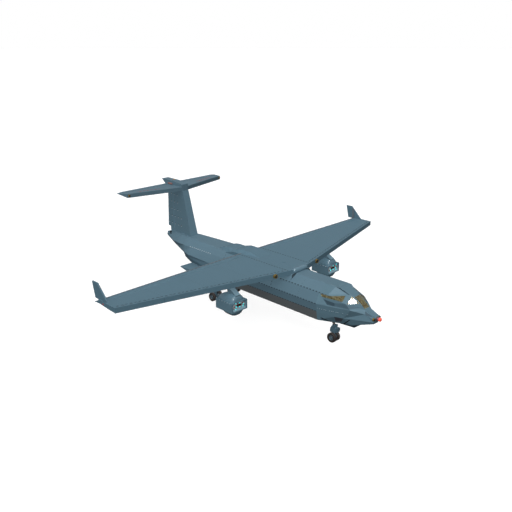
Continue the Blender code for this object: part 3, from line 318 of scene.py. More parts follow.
edge_group, inlet, outlet = new_group(
    "beside_edge",
    [("Along", "f", 0.0), ("Height", "f", 0.0), ("From", "v", None), ("To", "v", None)],
    [("Mask", "f")],
)
start = add(edge_group, "ShaderNodeSeparateXYZ", {0: inlet.outputs["From"]})
end = add(edge_group, "ShaderNodeSeparateXYZ", {0: inlet.outputs["To"]})
run = maths(edge_group, "SUBTRACT", end.outputs[0], start.outputs[0])
rise = maths(edge_group, "SUBTRACT", end.outputs[1], start.outputs[1])
ahead = maths(edge_group, "SUBTRACT", inlet.outputs["Along"], start.outputs[0])
above = maths(edge_group, "SUBTRACT", inlet.outputs["Height"], start.outputs[1])
run_above = maths(edge_group, "MULTIPLY", run, above)
turn = maths(edge_group, "SUBTRACT", run_above, maths(edge_group, "MULTIPLY", rise, ahead))
edge_group.links.new(maths(edge_group, "GREATER_THAN", turn, 0.0), outlet.inputs["Mask"])
print("groups:", seam_group.name, rivet_group.name, edge_group.name)

# %% [markdown]
# ## Colours
# The skin is a matt blue-grey whose tone differs a little from region to region. The tints
# are what is drawn on it: seams, dots, bands, and painted light and shade that make some
# facets lighter or darker and put shadows and highlights on them.

# %% Skins and tints
SKIN = (0.088, 0.152, 0.194, 1)
WING_SKIN = (0.0785, 0.144, 0.187, 1)
TAIL_SKIN = (0.085, 0.143, 0.181, 1)
POD_SKIN = (0.094, 0.166, 0.212, 1)
NOSE_SKIN = (0.086, 0.152, 0.192, 1)
FIN_SKIN = (0.093, 0.161, 0.205, 1)
BROWN = (0.060, 0.052, 0.046, 1)
TINTS = {
    "dark line": (0.018, 0.026, 0.031, 1),
    "pale line": (0.55, 0.60, 0.62, 1),
    "pale dots": (0.40, 0.46, 0.49, 1),
    "red line": (0.24, 0.030, 0.022, 1),
    "reddish grey": (0.102, 0.130, 0.152, 1),
    "brown": BROWN,
    "belly grey": (0.100, 0.112, 0.118, 1),
    # painted shade and painted light: darker and lighter facets, shadows and highlights
    "shade": (0.044, 0.076, 0.100, 1),
    "half shade": (0.062, 0.108, 0.140, 1),
    "light": (0.105, 0.178, 0.225, 1),
    "soft light": (0.098, 0.172, 0.216, 1),
    "bright": (0.135, 0.222, 0.275, 1),
    # grey of the underside, darkened further as painted shade
    "shaded door grey": (0.058, 0.066, 0.082, 1),
    "black": (0.006, 0.006, 0.006, 1),
    # painted shade deep in the engine ducts, in a dark red-brown
    "duct shade": (0.034, 0.011, 0.008, 1),
}
print("tints:", ", ".join(TINTS))

# %% [markdown]
# ## Rulers
# A ruler is one measure of a point in the aircraft: its distance from the middle, its
# station, its height, its distance from the engine's axis, or how far it lies behind the
# swept edges of wing and tail. Lines and bands are drawn at a value of one ruler, along
# another one. A patch is a polygon on the side, fenced by its edges.

# %% Rulers, lines and patches
TRAILING_SWEEP = 0.00857
TAIL_SWEEP = 0.245


def rulers(tree, point):
    """The measures that lines and patches are drawn by."""
    parts = add(tree, "ShaderNodeSeparateXYZ", {0: point})
    x = maths(tree, "ABSOLUTE", parts.outputs[0])
    y = maths(tree, "SUBTRACT", parts.outputs[1], SHIFT)
    front = maths(tree, "SUBTRACT", y, maths(tree, "MULTIPLY", x, SWEEP))
    rear = maths(tree, "ADD", y, maths(tree, "MULTIPLY", x, TRAILING_SWEEP))
    tail = maths(tree, "SUBTRACT", y, maths(tree, "MULTIPLY", x, TAIL_SWEEP))
    aside = maths(tree, "SUBTRACT", x, ENGINE_X)
    up = maths(tree, "SUBTRACT", parts.outputs[2], ENGINE_Z)
    squared = maths(tree, "ADD", maths(tree, "MULTIPLY", aside, aside), maths(tree, "MULTIPLY", up, up))
    return {"x": x, "y": y, "z": parts.outputs[2], "wing_front": front, "wing_rear": rear,
            "tail_front": tail, "duct": maths(tree, "SQRT", squared)}


def line(group, tint, across, at, along, pitch, between, **size):
    """What is drawn at one value of a ruler, between two values of another."""
    values = {"At": at, "Pitch": pitch, "From": between[0], "To": between[1], **size}
    return {"group": group, "tint": TINTS[tint], "across": across, "along": along, "values": values}


def seam(tint, across, at, width, along, pitch, fill, between):
    """A row of dashes that fill a share of their pitch."""
    return line(seam_group, tint, across, at, along, pitch, between, Width=width, Fill=fill)


def dots(tint, across, at, radius, along, pitch, between):
    """A row of round dots."""
    return line(rivet_group, tint, across, at, along, pitch, between, Radius=radius)


def band(tint, across, at, width, along, between):
    """A band without gaps."""
    return line(seam_group, tint, across, at, along, 100.0, between, Width=width, Fill=2.0)


def line_mask(tree, measures, drawn):
    """1 where a line, a dot or a band is."""
    values = dict(drawn["values"], Across=measures[drawn["across"]], Along=measures[drawn["along"]])
    return use_group(tree, drawn["group"], values).outputs["Mask"]


def stripe(start, end, width):
    """The corners of a straight line of some width, counted anticlockwise."""
    run, rise = end[0] - start[0], end[1] - start[1]
    scale = 0.5 * width / math.hypot(run, rise)
    aside, up = rise * scale, -run * scale
    return [(start[0] + aside, start[1] + up), (end[0] + aside, end[1] + up),
            (end[0] - aside, end[1] - up), (start[0] - aside, start[1] - up)]


def patch_mask(tree, measures, corners, beyond):
    """1 inside a patch of the side, whose corners are stations and heights, anticlockwise."""
    mask = maths(tree, "GREATER_THAN", measures["x"], beyond)
    for start, end in zip(corners, corners[1:] + corners[:1]):
        values = {"Along": measures["y"], "Height": measures["z"], "From": (*start, 0), "To": (*end, 0)}
        mask = maths(tree, "MULTIPLY", mask, use_group(tree, edge_group, values).outputs["Mask"])
    return mask


# %% [markdown]
# ## The painted finish
# Bands and patches change the paint's colour before it weathers, and some of them are
# painted light and shade. Lines come on top, cover most of it and press the surface in by a
# few millimetres.

# %% The painted finish
LINE_COVER = 0.85
LINE_DEPTH = 0.004
STREAKS = 0.06


def painted(name, colour=SKIN, bands=(), patches=(), lines=(), roughness=0.55, metallic=0.0,
            fading=0.10, gloss=0.12, bump_strength=0.5):
    """A weathered paint with bands and patches of another tint, and seams and dots on it."""
    made = bpy.data.materials.new(name)
    made.use_nodes = True
    tree = made.node_tree
    shader = tree.nodes["Principled BSDF"]
    point = add(tree, "ShaderNodeTexCoord").outputs["Object"]
    measures = rulers(tree, point)
    base = colour
    for drawn in bands:
        base = blend_colour(tree, line_mask(tree, measures, drawn), base, drawn["tint"])
    for tint, beyond, corners in patches:
        base = blend_colour(tree, patch_mask(tree, measures, corners, beyond), base, TINTS[tint])
    paint = use_group(tree, paint_group, {
        "Vector": point, "Paint": base, "Fading": fading, "Streaks": STREAKS, "Roughness": roughness})
    result = paint.outputs["Color"]
    dips = None
    for drawn in lines:
        mask = line_mask(tree, measures, drawn)
        result = blend_colour(tree, maths(tree, "MULTIPLY", mask, LINE_COVER), result, drawn["tint"])
        dips = mask if dips is None else maths(tree, "MAXIMUM", dips, mask)
    level = paint.outputs["Height"]
    if dips is not None:
        level = maths(tree, "SUBTRACT", level, maths(tree, "MULTIPLY", dips, LINE_DEPTH))
    bump = add(tree, "ShaderNodeBump", {"Height": level, "Strength": bump_strength, "Distance": 1.0})
    tree.links.new(result, shader.inputs["Base Color"])
    tree.links.new(paint.outputs["Roughness"], shader.inputs["Roughness"])
    tree.links.new(bump.outputs[0], shader.inputs["Normal"])
    shader.inputs["Metallic"].default_value = metallic
    shader.inputs["Specular IOR Level"].default_value = gloss
    return made


# %% [markdown]
# ## The finish of each region
# The seams follow the real structure: ribs and slats on the wing, longerons along the
# hull's edges and frames round it. A line gives its tint, the ruler and value that it is
# drawn at, its width or radius, the ruler that it runs along, its pitch and its two ends.
# A row of dashes also gives, after its pitch, the share of it that a dash fills.

# %% Finishes for the wing
SLAT_SEAM = TIP_LEADING_Y - SHIFT - SWEEP * HALF_SPAN + 0.31
ROOT_SEAM_X = 1.50
RIB_CHORD = (-6.0, 1.0)
# The patch is painted shadow along the foot of the hump's side.
fairing_finish = painted("root_fairing_paint", colour=WING_SKIN, patches=[
    ("shade", 0.9, [(3.25, 5.70), (2.30, 5.70), (0.90, 5.98), (0.90, 6.20), (2.30, 6.20), (3.25, 5.90)]),
])
wing_finish = painted("wing_paint", colour=WING_SKIN, bands=[
    band("reddish grey", "wing_rear", 0.98, 0.27, "x", (1.2, 17.3)),
], lines=[
    seam("dark line", "x", ROOT_SEAM_X, 0.10, "y", 0.34, 0.60, (-5.68, 1.2)),
    seam("dark line", "wing_front", SLAT_SEAM, 0.09, "x", 0.37, 0.50, (1.6, 17.2)),
    seam("dark line", "wing_front", SLAT_SEAM - 0.11, 0.05, "x", 0.59, 0.40, (1.6, 17.2)),
    seam("dark line", "wing_rear", 0.83, 0.05, "x", 0.50, 0.60, (1.2, 17.3)),
] + [dots("dark line", "x", rib_x, 0.022, "y", 0.28, RIB_CHORD) for rib_x in (5.2, 9.4, 13.4)])
print("wing:", len(wing_finish.node_tree.nodes), "nodes")

# %% Finishes for the hull
UPPER_EDGE_Z = 5.23
SIDE_EDGE_Z = 4.26
LOWER_EDGE_Z = 3.50
HULL_SIDE = (2.7, 5.7)
hull_finish = painted("hull_paint", bands=[band("belly grey", "z", 3.02, 0.96, "y", (-9.65, 9.5))], lines=[
    seam("dark line", "z", UPPER_EDGE_Z, 0.07, "y", 0.36, 0.50, (-11.0, 3.0)),
    seam("dark line", "z", SIDE_EDGE_Z, 0.08, "y", 0.33, 0.55, (-9.6, 5.0)),
    seam("dark line", "z", LOWER_EDGE_Z, 0.07, "y", 0.33, 0.55, (-9.6, 5.0)),
    seam("dark line", "y", -4.00, 0.06, "z", 0.26, 0.60, (4.3, 5.8)),
    seam("dark line", "y", 3.00, 0.04, "z", 0.26, 0.60, (2.7, 5.8)),
    # Where the deck widens, a solid dark line is painted shade on the small step's face.
    seam("dark line", "y", -6.03, 0.10, "x", 0.50, 1.00, (0.70, 1.30)),
    dots("pale line", "z", UPPER_EDGE_Z, 0.035, "y", 0.33, (5.0, 8.6)),
    dots("dark line", "y", -7.40, 0.020, "z", 0.22, HULL_SIDE),
    dots("dark line", "y", -2.20, 0.020, "z", 0.22, HULL_SIDE),
])
print("hull:", len(hull_finish.node_tree.nodes), "nodes")

# %% [markdown]
# The nose is all facets. Most patches are painted light and shade: lighter and darker
# facets, shadows under the glass and a highlight along the side's crease. Each patch gives
# its tint, the least distance from the middle where it shows, and its corners as station
# and height.

# %% Finish for the nose
BROW = (-11.91, 5.41)
CHEEK = (-10.17, 4.82)
RECESS_TOP = (-11.22, 4.67)
RECESS_FOOT = (-11.30, 4.39)
CREASE_LOW = (-11.60, 4.27)
CREASE_HIGH = (-12.40, 4.375)
nose_finish = painted("nose_paint", colour=NOSE_SKIN, patches=[
    # painted highlight on the sloping facet in front of the windscreen
    ("light", 0.5, [(-10.72, 5.84), BROW, (-10.52, 5.30)]),
    # painted shadow in the slit beside the raised middle of the roof
    ("shade", 0.42, [(-10.74, 5.84), (-11.54, 5.70), (-12.13, 5.37), BROW]),
    # painted light on the facet just ahead of the nose's joint to the hull
    ("soft light", 0.9, [(-9.60, 5.24), CHEEK, (-10.62, 4.37), (-9.60, 4.27)]),
    # painted shade on the dark panel below the side window
    ("shade", 0.5, [CHEEK, RECESS_TOP, RECESS_FOOT, (-10.62, 4.40)]),
    # painted soft shadow below the quarter pane
    ("half shade", 0.3, [RECESS_TOP, (-12.13, 4.83), (-13.25, 4.48), RECESS_FOOT]),
    # painted shade on a small facet low at the front
    ("shade", 0.2, [(-13.71, 4.31), (-14.18, 4.10), (-14.45, 3.94), (-13.83, 4.05)]),
    # grey of the door, darkened further as painted shade of the downward facet
    ("shaded door grey", 0.5, [(-11.25, 3.34), (-12.05, 3.32), (-11.75, 2.90), (-11.20, 2.74)]),
    # painted highlight along the crease of the side
    ("light", 0.5, stripe((-10.57, 4.33), CREASE_LOW, 0.045)),
    ("light", 0.5, stripe(CREASE_LOW, CREASE_HIGH, 0.045)),
    ("light", 0.2, stripe(CREASE_HIGH, (-13.72, 4.35), 0.035)),
    ("black", 0.3, stripe((-9.95, 2.92), (-10.80, 2.65), 0.10)),
    ("black", 0.3, stripe((-11.76, 2.52), (-12.60, 3.33), 0.08)),
], lines=[
    seam("dark line", "z", UPPER_EDGE_Z, 0.04, "y", 0.36, 0.55, (-10.6, -9.5)),
    dots("dark line", "z", 3.74, 0.022, "y", 0.47, (-12.6, -9.8)),
])
print("nose:", len(nose_finish.node_tree.nodes), "nodes")

# %% Finishes for tail, engines, gear and cabin
EVERYWHERE = (-20.0, 20.0)
tail_finish = painted("tail_paint", colour=TAIL_SKIN, lines=[
    seam("red line", "tail_front", 11.46, 0.17, "x", 0.42, 0.60, (2.6, 5.1)),
    seam("dark line", "y", 13.20, 0.04, "x", 0.40, 0.60, (0.6, 6.3)),
])
fin_rows = []
for i in range(5):
    row_z = 6.6 + 0.85 * i
    fin_chord = (11.0 + 0.25 * i, 14.2)
    fin_rows.append(dots("pale dots", "z", row_z, 0.06, "y", 0.62, fin_chord))
    fin_rows.append(dots("dark line", "z", row_z + 0.07, 0.06, "y", 0.62, fin_chord))
fin_finish = painted("fin_paint", colour=FIN_SKIN, lines=fin_rows)
# The band lightens the pylon's front face between its sides: painted light.
pylon_finish = painted("pylon_paint", bands=[band("bright", "x", ENGINE_X, 0.55, "z", (4.0, 7.0))])
pod_bands = [
    band("brown", "z", 2.90, 0.18, "y", EVERYWHERE),
    # painted shade inside the duct, within 0.56 of the engine's axis
    band("duct shade", "duct", 0.0, 1.12, "y", (-4.40, -2.50)),
]
pod_seam = seam("pale line", "z", 4.335, 0.035, "y", 0.34, 0.30, (-4.6, -2.5))
pod_finish = painted("pod_paint", colour=POD_SKIN, bands=pod_bands, lines=[pod_seam],
                     roughness=0.17, gloss=0.4, bump_strength=0.06, fading=0.06)
sponson_finish = painted("gear_fairing_paint")
leg_finish = painted("leg_paint", roughness=0.42, metallic=0.25)
brown_leg = painted("leg_brown", colour=BROWN, roughness=0.5)
lining = painted("cabin_lining_paint", colour=(0.10, 0.11, 0.10, 1), roughness=0.7)
floor_plate = painted("floor_plate_paint", colour=(0.13, 0.135, 0.14, 1), roughness=0.6, metallic=0.4)
trim = painted("dark_trim_paint", colour=(0.016, 0.020, 0.023, 1), roughness=0.6)
print("painted finishes:", len(bpy.data.materials))

# %% [markdown]
# ## Rubber, metal and lamp finishes
# These small finishes stand alone: rubber with a fine grain, worn metals, and lens glass
# that glows a little of its own colour.

# %% A plain finish and a lens
def simple(name, colour, roughness, metallic=0.0, grain=30.0, depth=0.003, change=0.25):
    """A finish with a fine uneven grain in its colour and surface."""
    made = bpy.data.materials.new(name)
    made.use_nodes = True
    tree = made.node_tree
    shader = tree.nodes["Principled BSDF"]
    point = add(tree, "ShaderNodeTexCoord").outputs["Object"]
    noise = add(tree, "ShaderNodeTexNoise", {"Vector": point, "Scale": grain, "Detail": 4.0})
    darker = tuple(value * (1 - change) for value in colour[:3]) + (1,)
    mixed = blend_colour(tree, noise.outputs["Fac"], darker, colour)
    uneven = maths(tree, "ADD", maths(tree, "MULTIPLY", noise.outputs["Fac"], 0.2), roughness - 0.1)
    bump = add(tree, "ShaderNodeBump", {"Height": noise.outputs["Fac"], "Strength": 0.4, "Distance": depth})
    tree.links.new(mixed, shader.inputs["Base Color"])
    tree.links.new(uneven, shader.inputs["Roughness"])
    tree.links.new(bump.outputs[0], shader.inputs["Normal"])
    shader.inputs["Metallic"].default_value = metallic
    return made


def lens(name, colour, glow):
    """Lens glass with a faint ribbing and a light of its own."""
    made = simple(name, colour, 0.2, grain=60.0, depth=0.001, change=0.15)
    shader = made.node_tree.nodes["Principled BSDF"]
    shader.inputs["Emission Color"].default_value = colour
    shader.inputs["Emission Strength"].default_value = glow
    shader.inputs["Coat Weight"].default_value = 0.6
    return made


print("finishes so far:", len(bpy.data.materials))

# %% Rubber, metals and lenses
tyre_rubber = simple("tyre_rubber", (0.020, 0.014, 0.012, 1), 0.8, grain=40.0)
rim_paint = simple("rim_paint", (0.085, 0.150, 0.190, 1), 0.42, metallic=0.2)
bare_metal = simple("bare_metal", (0.38, 0.39, 0.41, 1), 0.35, metallic=0.9)
guide_grey = simple("guide_grey", (0.40, 0.38, 0.41, 1), 0.5, metallic=0.1, grain=9.0, change=0.6)
lip_paint = simple("lip_paint", (0.150, 0.255, 0.315, 1), 0.5)
rivet_paint = simple("rivet_paint", (0.21, 0.29, 0.34, 1), 0.5)
blade_metal = simple("blade_metal", (0.055, 0.012, 0.009, 1), 0.45, metallic=0.5)
actuator_paint = simple("actuator_paint", (0.26, 0.12, 0.11, 1), 0.5, grain=6.0, change=0.7)
core_metal = simple("core_metal", (0.05, 0.02, 0.016, 1), 0.55, metallic=0.6)
gold_rim = simple("gold_rim", (0.30, 0.20, 0.05, 1), 0.35, metallic=0.7)
dark_lens = simple("dark_lens", (0.02, 0.02, 0.018, 1), 0.15)
red_lens = lens("red_lens", (0.42, 0.07, 0.05, 1), 0.1)
amber_lens = lens("amber_lens", (0.36, 0.19, 0.08, 1), 0.05)
cyan_lens = lens("cyan_lens", (0.04, 0.66, 0.68, 1), 0.8)
print("finishes so far:", len(bpy.data.materials))

# %% [markdown]
# The nose lamp is red in front and turns to a dark violet where its lens meets the collar.

# %% The nose lamp's lens
LENS_FRONT_Y = -14.68
LENS_REAR_Y = -14.60
nose_lens = lens("nose_lens", (0.88, 0.12, 0.07, 1), 0.26)
tree = nose_lens.node_tree
shader = tree.nodes["Principled BSDF"]
place = add(tree, "ShaderNodeSeparateXYZ", {0: add(tree, "ShaderNodeTexCoord").outputs["Object"]})
to_rear = add(tree, "ShaderNodeMapRange", {0: place.outputs[1], 1: LENS_FRONT_Y, 2: LENS_REAR_Y}).outputs[0]
worn = shader.inputs["Base Color"].links[0].from_socket
for socket, violet in (("Base Color", (0.10, 0.06, 0.13, 1)), ("Emission Color", (0.03, 0.02, 0.05, 1))):
    tree.links.new(blend_colour(tree, to_rear, worn, violet), shader.inputs[socket])
print("nose lens:", len(tree.nodes), "nodes")

# %% [markdown]
# ## Smoked glass
# The panes are brownish and uneven. A real pane has a slight crown, which spreads a lamp's
# reflection. The group leans the normal outwards from the pane's middle to show that.

# %% The crowned pane group
crown_group, inlet, outlet = new_group(
    "crowned_pane", [("Point", "v", None), ("Centre", "v", None), ("Bend", "f", 0.1)], [("Normal", "v")])
away = add(crown_group, "ShaderNodeVectorMath",
           {0: inlet.outputs["Point"], 1: inlet.outputs["Centre"]}, operation="SUBTRACT")
lean = add(crown_group, "ShaderNodeVectorMath",
           {0: away.outputs[0], "Scale": inlet.outputs["Bend"]}, operation="SCALE")
flat = add(crown_group, "ShaderNodeNewGeometry").outputs["Normal"]
total = add(crown_group, "ShaderNodeVectorMath", {0: flat, 1: lean.outputs[0]}, operation="ADD")
unit = add(crown_group, "ShaderNodeVectorMath", {0: total.outputs[0]}, operation="NORMALIZE")
crown_group.links.new(unit.outputs[0], outlet.inputs["Normal"])
print("group:", crown_group.name)

# %% The panes
def smoked_glass(name, centre, bend, roughness):
    """Brownish glass that shows the cabin unevenly, with a slight crown."""
    made = bpy.data.materials.new(name)
    made.use_nodes = True
    tree = made.node_tree
    shader = tree.nodes["Principled BSDF"]
    point = add(tree, "ShaderNodeTexCoord").outputs["Object"]
    broad = add(tree, "ShaderNodeTexNoise", {"Vector": point, "Scale": 2.2, "Detail": 2.0})
    fine = add(tree, "ShaderNodeTexNoise", {"Vector": point, "Scale": 7.0, "Detail": 2.0})
    spots = add(tree, "ShaderNodeMapRange", {0: fine.outputs["Fac"], 1: 0.34, 2: 0.62})
    hazy = blend_colour(tree, broad.outputs["Fac"], (0.19, 0.165, 0.06, 1), (0.34, 0.34, 0.24, 1))
    tinted = blend_colour(tree, spots.outputs[0], (0.12, 0.080, 0.016, 1), hazy)
    crown = use_group(tree, crown_group, {"Point": point, "Centre": centre, "Bend": bend})
    tree.links.new(tinted, shader.inputs["Base Color"])
    tree.links.new(crown.outputs["Normal"], shader.inputs["Normal"])
    shader.inputs["Roughness"].default_value = roughness
    shader.inputs["Transmission Weight"].default_value = 0.6
    shader.inputs["IOR"].default_value = 1.45
    return made


QUARTER_PANE = (0.83, -12.36, 4.96)
glass = smoked_glass("cockpit_glass", (0, -11.5, 4.9), bend=0.02, roughness=0.08)
quarter_left = smoked_glass("quarter_glass_left", QUARTER_PANE, bend=0.15, roughness=0.11)
far_pane = (-QUARTER_PANE[0], *QUARTER_PANE[1:])
quarter_right = smoked_glass("quarter_glass_right", far_pane, bend=0.15, roughness=0.11)
print("all finishes:", len(bpy.data.materials))

# %% [markdown]
# ## Finishes go onto the solids
# A solid whose shape is right stays, and only its material slots change.

# %% Dress the CAD nodes
def both(*names):
    """The port and the starboard node of each name."""
    return [name + side for name in names for side in ("_left", "_right")]


DRESS = {
    wing_finish: ["wing_center"] + both("wing", "flap", "aileron", "winglet"),
    fairing_finish: ["wing_root_fairing"],
    hull_finish: ["fuselage_center", "fuselage_rear", "fuselage_tail",
                  "crew_door", "cargo_ramp", "aft_cargo_door"],
    nose_finish: ["fuselage_nose"],
    tail_finish: ["tail_beam"] + both("tailplane", "elevator"),
    fin_finish: ["fin", "rudder"],
    pylon_finish: both("pylon"),
    pod_finish: ["leading_edge_fairing"] + both("nacelle"),
    sponson_finish: both("sponson"),
    leg_finish: ["nose_gear_fork"] + both("main_gear_leg"),
    brown_leg: ["nose_gear_leg"],
    lining: ["cockpit_bulkhead", "crew_seats"],
    floor_plate: ["cockpit_floor", "cargo_floor"],
    trim: ["instrument_panel"],
    core_metal: both("engine_core"),
    blade_metal: both("fan"),
    glass: ["windscreen_center"] + both("side_window"),
    quarter_left: ["windscreen_left"],
    quarter_right: ["windscreen_right"],
    nose_lens: ["nose_lamp"],
    amber_lens: ["beacon_lamp"],
    gold_rim: both("landing_lamp", "tailplane_lamp"),
    tyre_rubber: ["nose_wheels"] + both("main_wheels"),
}
for finish, names in DRESS.items():
    for name in names:
        for slot in NODES[name].material_slots:
            slot.material = finish
undressed = sorted(set(NODES) - {name for names in DRESS.values() for name in names})
print("solids without a finish:", undressed)

# %% [markdown]
# ## Round solids look round
# The solids come in with flat facets. A small geometry node tree smooths the shading of
# faces that meet at less than 32 degrees and keeps the sharper edges sharp. It is a
# modifier, so the solids' meshes stay as they are.

# %% Smooth shading on engines, capsule and gear
SHARP_ANGLE = math.radians(32)
WELD = 0.0002
smoothing = bpy.data.node_groups.new("smooth_round_faces", "GeometryNodeTree")
for way in ("INPUT", "OUTPUT"):
    smoothing.interface.new_socket("Geometry", in_out=way, socket_type="NodeSocketGeometry")
entry = smoothing.nodes.new("NodeGroupInput").outputs[0]
plain = add(smoothing, "GeometryNodeRemoveAttribute",
            {"Geometry": entry, "Name": "custom_normal"}).outputs[0]
welded = add(smoothing, "GeometryNodeMergeByDistance", {"Geometry": plain, "Distance": WELD}).outputs[0]
rounded = add(smoothing, "GeometryNodeSetShadeSmooth",
              {"Geometry": welded, "Shade Smooth": True}, domain="FACE").outputs[0]
edge_angle = add(smoothing, "GeometryNodeInputMeshEdgeAngle").outputs["Unsigned Angle"]
sharp = add(smoothing, "FunctionNodeCompare",
            {0: edge_angle, 1: SHARP_ANGLE}, operation="GREATER_THAN").outputs[0]
edged = add(smoothing, "GeometryNodeSetShadeSmooth",
            {"Geometry": rounded, "Selection": sharp, "Shade Smooth": False}, domain="EDGE").outputs[0]
add(smoothing, "NodeGroupOutput", {0: edged})
ROUND = ["leading_edge_fairing", "nose_lamp", "beacon_lamp", "nose_gear_leg", "nose_gear_fork"]
ROUND += both("nacelle", "main_gear_leg", "engine_core", "fan")
for name in ROUND:
    NODES[name].modifiers.new("smooth_round_faces", "NODES").node_group = smoothing
print("smoothed solids:", len(ROUND))

# %% [markdown]
# ## Wheels
# A tyre is a drum with rounded shoulders and grooves round its tread. The drum is a
# cylinder: its two ends are inset to make the sidewalls, the outer edges are bevelled,
# and bands of the tread are inset inwards. It is modelled once and copied six times.

# %% One tyre
GROOVE_INNER = 0.038
GROOVE_OUTER = 0.062
SHOULDER = WHEEL_RADIUS - 0.03


def off_axle(at):
    """How far a point is from the axle."""
    return math.hypot(at.y, at.z)


tyre = drum((0, 0, 0), "x", WHEEL_RADIUS - 0.001, 2 * WHEEL_HALF, 48)
edit_faces(tyre, lambda at, n: abs(n.x) > 0.9)
bpy.ops.mesh.inset(thickness=0.10)
bpy.ops.mesh.inset(thickness=0.10, depth=-0.02)
bpy.ops.mesh.inset(thickness=0.03, depth=-0.04)
done_editing()
edit_edges(tyre, lambda a, b: min(off_axle(a), off_axle(b)) > SHOULDER and abs(a.x - b.x) < 0.001)
bpy.ops.mesh.bevel(offset=0.055, segments=4)
for cut in (-GROOVE_OUTER, -GROOVE_INNER, GROOVE_INNER, GROOVE_OUTER):
    bpy.ops.mesh.select_all(action="SELECT")
    bpy.ops.mesh.bisect(plane_co=(cut, 0, 0), plane_no=(1, 0, 0))
done_editing()
edit_faces(tyre, lambda at, n: off_axle(at) > SHOULDER and GROOVE_INNER < abs(at.x) < GROOVE_OUTER)
bpy.ops.mesh.inset(thickness=0.004, depth=-0.014)
done_editing()
settle(tyre, "tyre", tyre_rubber, 40)
print("tyre:", len(tyre.data.polygons), "faces")

# %% [markdown]
# The hub is a dished disc with a ring of wheel nuts and a cap over the bearing.

# %% One hub
HUB_RADIUS = 0.235
NUT_CIRCLE = 0.138
NUT_COUNT = 8
hub = drum((0, 0, 0), "x", HUB_RADIUS, 2 * WHEEL_HALF - 0.06, 32)
edit_faces(hub, lambda at, n: abs(n.x) > 0.9)
bpy.ops.mesh.inset(thickness=0.03)
bpy.ops.mesh.inset(thickness=0.025, depth=-0.035)
bpy.ops.mesh.inset(thickness=0.075)
bpy.ops.mesh.inset(thickness=0.012, depth=0.03)
bpy.ops.mesh.inset(thickness=0.03, depth=0.012)
done_editing()
soften(hub, 0.004)
settle(hub, "hub", rim_paint, 35)
nuts = []
for i in range(NUT_COUNT):
    angle = 2 * math.pi * i / NUT_COUNT
    for side in (-1, 1):
        place = (side * (WHEEL_HALF - 0.055), NUT_CIRCLE * math.cos(angle), NUT_CIRCLE * math.sin(angle))
        nut = drum(place, "x", 0.016, 0.03, 6)
        edit_faces(nut, lambda at, n, side=side: n.x * side > 0.9)
        bpy.ops.mesh.inset(thickness=0.005, depth=0.004)
        done_editing()
        nuts.append(settle(nut, "nut", bare_metal, 0))
nuts = merge(nuts, "wheel_nuts")
print("hub:", len(hub.data.polygons), "faces, nuts:", len(nuts.data.polygons))

# %% [markdown]
# Each axle carries two wheels, and the pair rides on the body of its axle. When the first
# tyre of a pair is made, the plain solid is hidden.

# %% Six wheels on their bodies
WHEELS = {
    "nose_wheels": ("nose_wheel_pair", NOSE_AXLE, 0.27),
    "main_wheels_left": ("main_wheel_pair_left", MAIN_AXLE, 0.46),
    "main_wheels_right": ("main_wheel_pair_right", (-MAIN_AXLE[0], *MAIN_AXLE[1:]), 0.46),
}
for node, (body, axle, half_track) in WHEELS.items():
    for i, side in enumerate((-half_track, half_track)):
        move = (axle[0] + side, axle[1], axle[2])
        label = node.replace("wheels", "wheel") + ("_a", "_b")[i]
        for part, kind in ((tyre, "tyre"), (hub, "hub"), (nuts, "nuts")):
            piece = copy_piece(part, kind + "_" + label, move)
            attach(piece, body)
            if kind == "tyre" and i == 0:
                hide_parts(node)
    shaft = drum(axle, "x", 0.069, 2 * half_track, 24)
    edit_faces(shaft, lambda at, n: abs(n.x) > 0.9)
    bpy.ops.mesh.inset(thickness=0.02, depth=0.01)
    done_editing()
    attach(settle(shaft, "axle_" + node, bare_metal), body)
for part in (tyre, hub, nuts):
    bpy.data.objects.remove(part)

# %% [markdown]
# ## Helpers for rings and lens caps
# A ring is a drum whose two faces are inset and bridged. A lens cap is a drum whose face is
# inset twice and pushed out, which gives it a crown. What stands on the port side is then
# mirrored to starboard.

# %% Rings, caps and mirrored pairs
def ring_piece(place, axis, outer, inner, depth, vertices=32):
    """A flat ring about one of the three axes."""
    made = drum(place, axis, outer, depth, vertices)
    along = "xyz".index(axis)
    edit_faces(made, lambda at, n: abs(n[along]) > 0.9)
    bpy.ops.mesh.inset(thickness=outer - inner)
    bpy.ops.mesh.bridge_edge_loops()
    done_editing()
    return made


def cap_piece(place, axis, radius, depth, sign=-1, vertices=24):
    """A disc with a crowned face that looks along the axis, or against it."""
    made = drum(place, axis, radius, depth, vertices)
    along = "xyz".index(axis)
    edit_faces(made, lambda at, n: n[along] * sign > 0.9)
    bpy.ops.mesh.inset(thickness=radius * 0.22, depth=radius * 0.18)
    bpy.ops.mesh.inset(thickness=radius * 0.35, depth=radius * 0.12)
    done_editing()
    return made


def pair(obj, name, finish, body="airframe", smooth_angle=40):
    """A finished port piece and its mirror image to starboard."""
    settle(obj, name + "_left", finish, smooth_angle)
    far = copy_piece(obj, name + "_right", flip=True)
    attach(obj, body)
    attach(far, body)
    return obj


def single(obj, name, finish, body="airframe", smooth_angle=40):
    """A finished piece that stands alone."""
    settle(obj, name, finish, smooth_angle)
    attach(obj, body)
    return obj


# %% [markdown]
# ## Engine mouths
# In each intake a pale oval guide ring stands just inside the lip, with small blocks round
# it, seven cyan lamps that watch for ice, and a lower lip that slopes up into the duct.

# %% The guide ring
MOUTH = (ENGINE_X, -4.65 + SHIFT, 3.93)
GUIDE_STRETCH = 2.1
GUIDE_FLOOR_Z = 3.72
BLOCK_COUNT = 18
BLOCK_SPAN = (0.60, 0.29)
ICE_LAMPS = ((-0.45, 0.355), (0.03, 0.31), (0.51, 0.05), (-0.40, 0.03), (0.43, -0.12), (0.03, -0.08),
             (-0.46, -0.20))


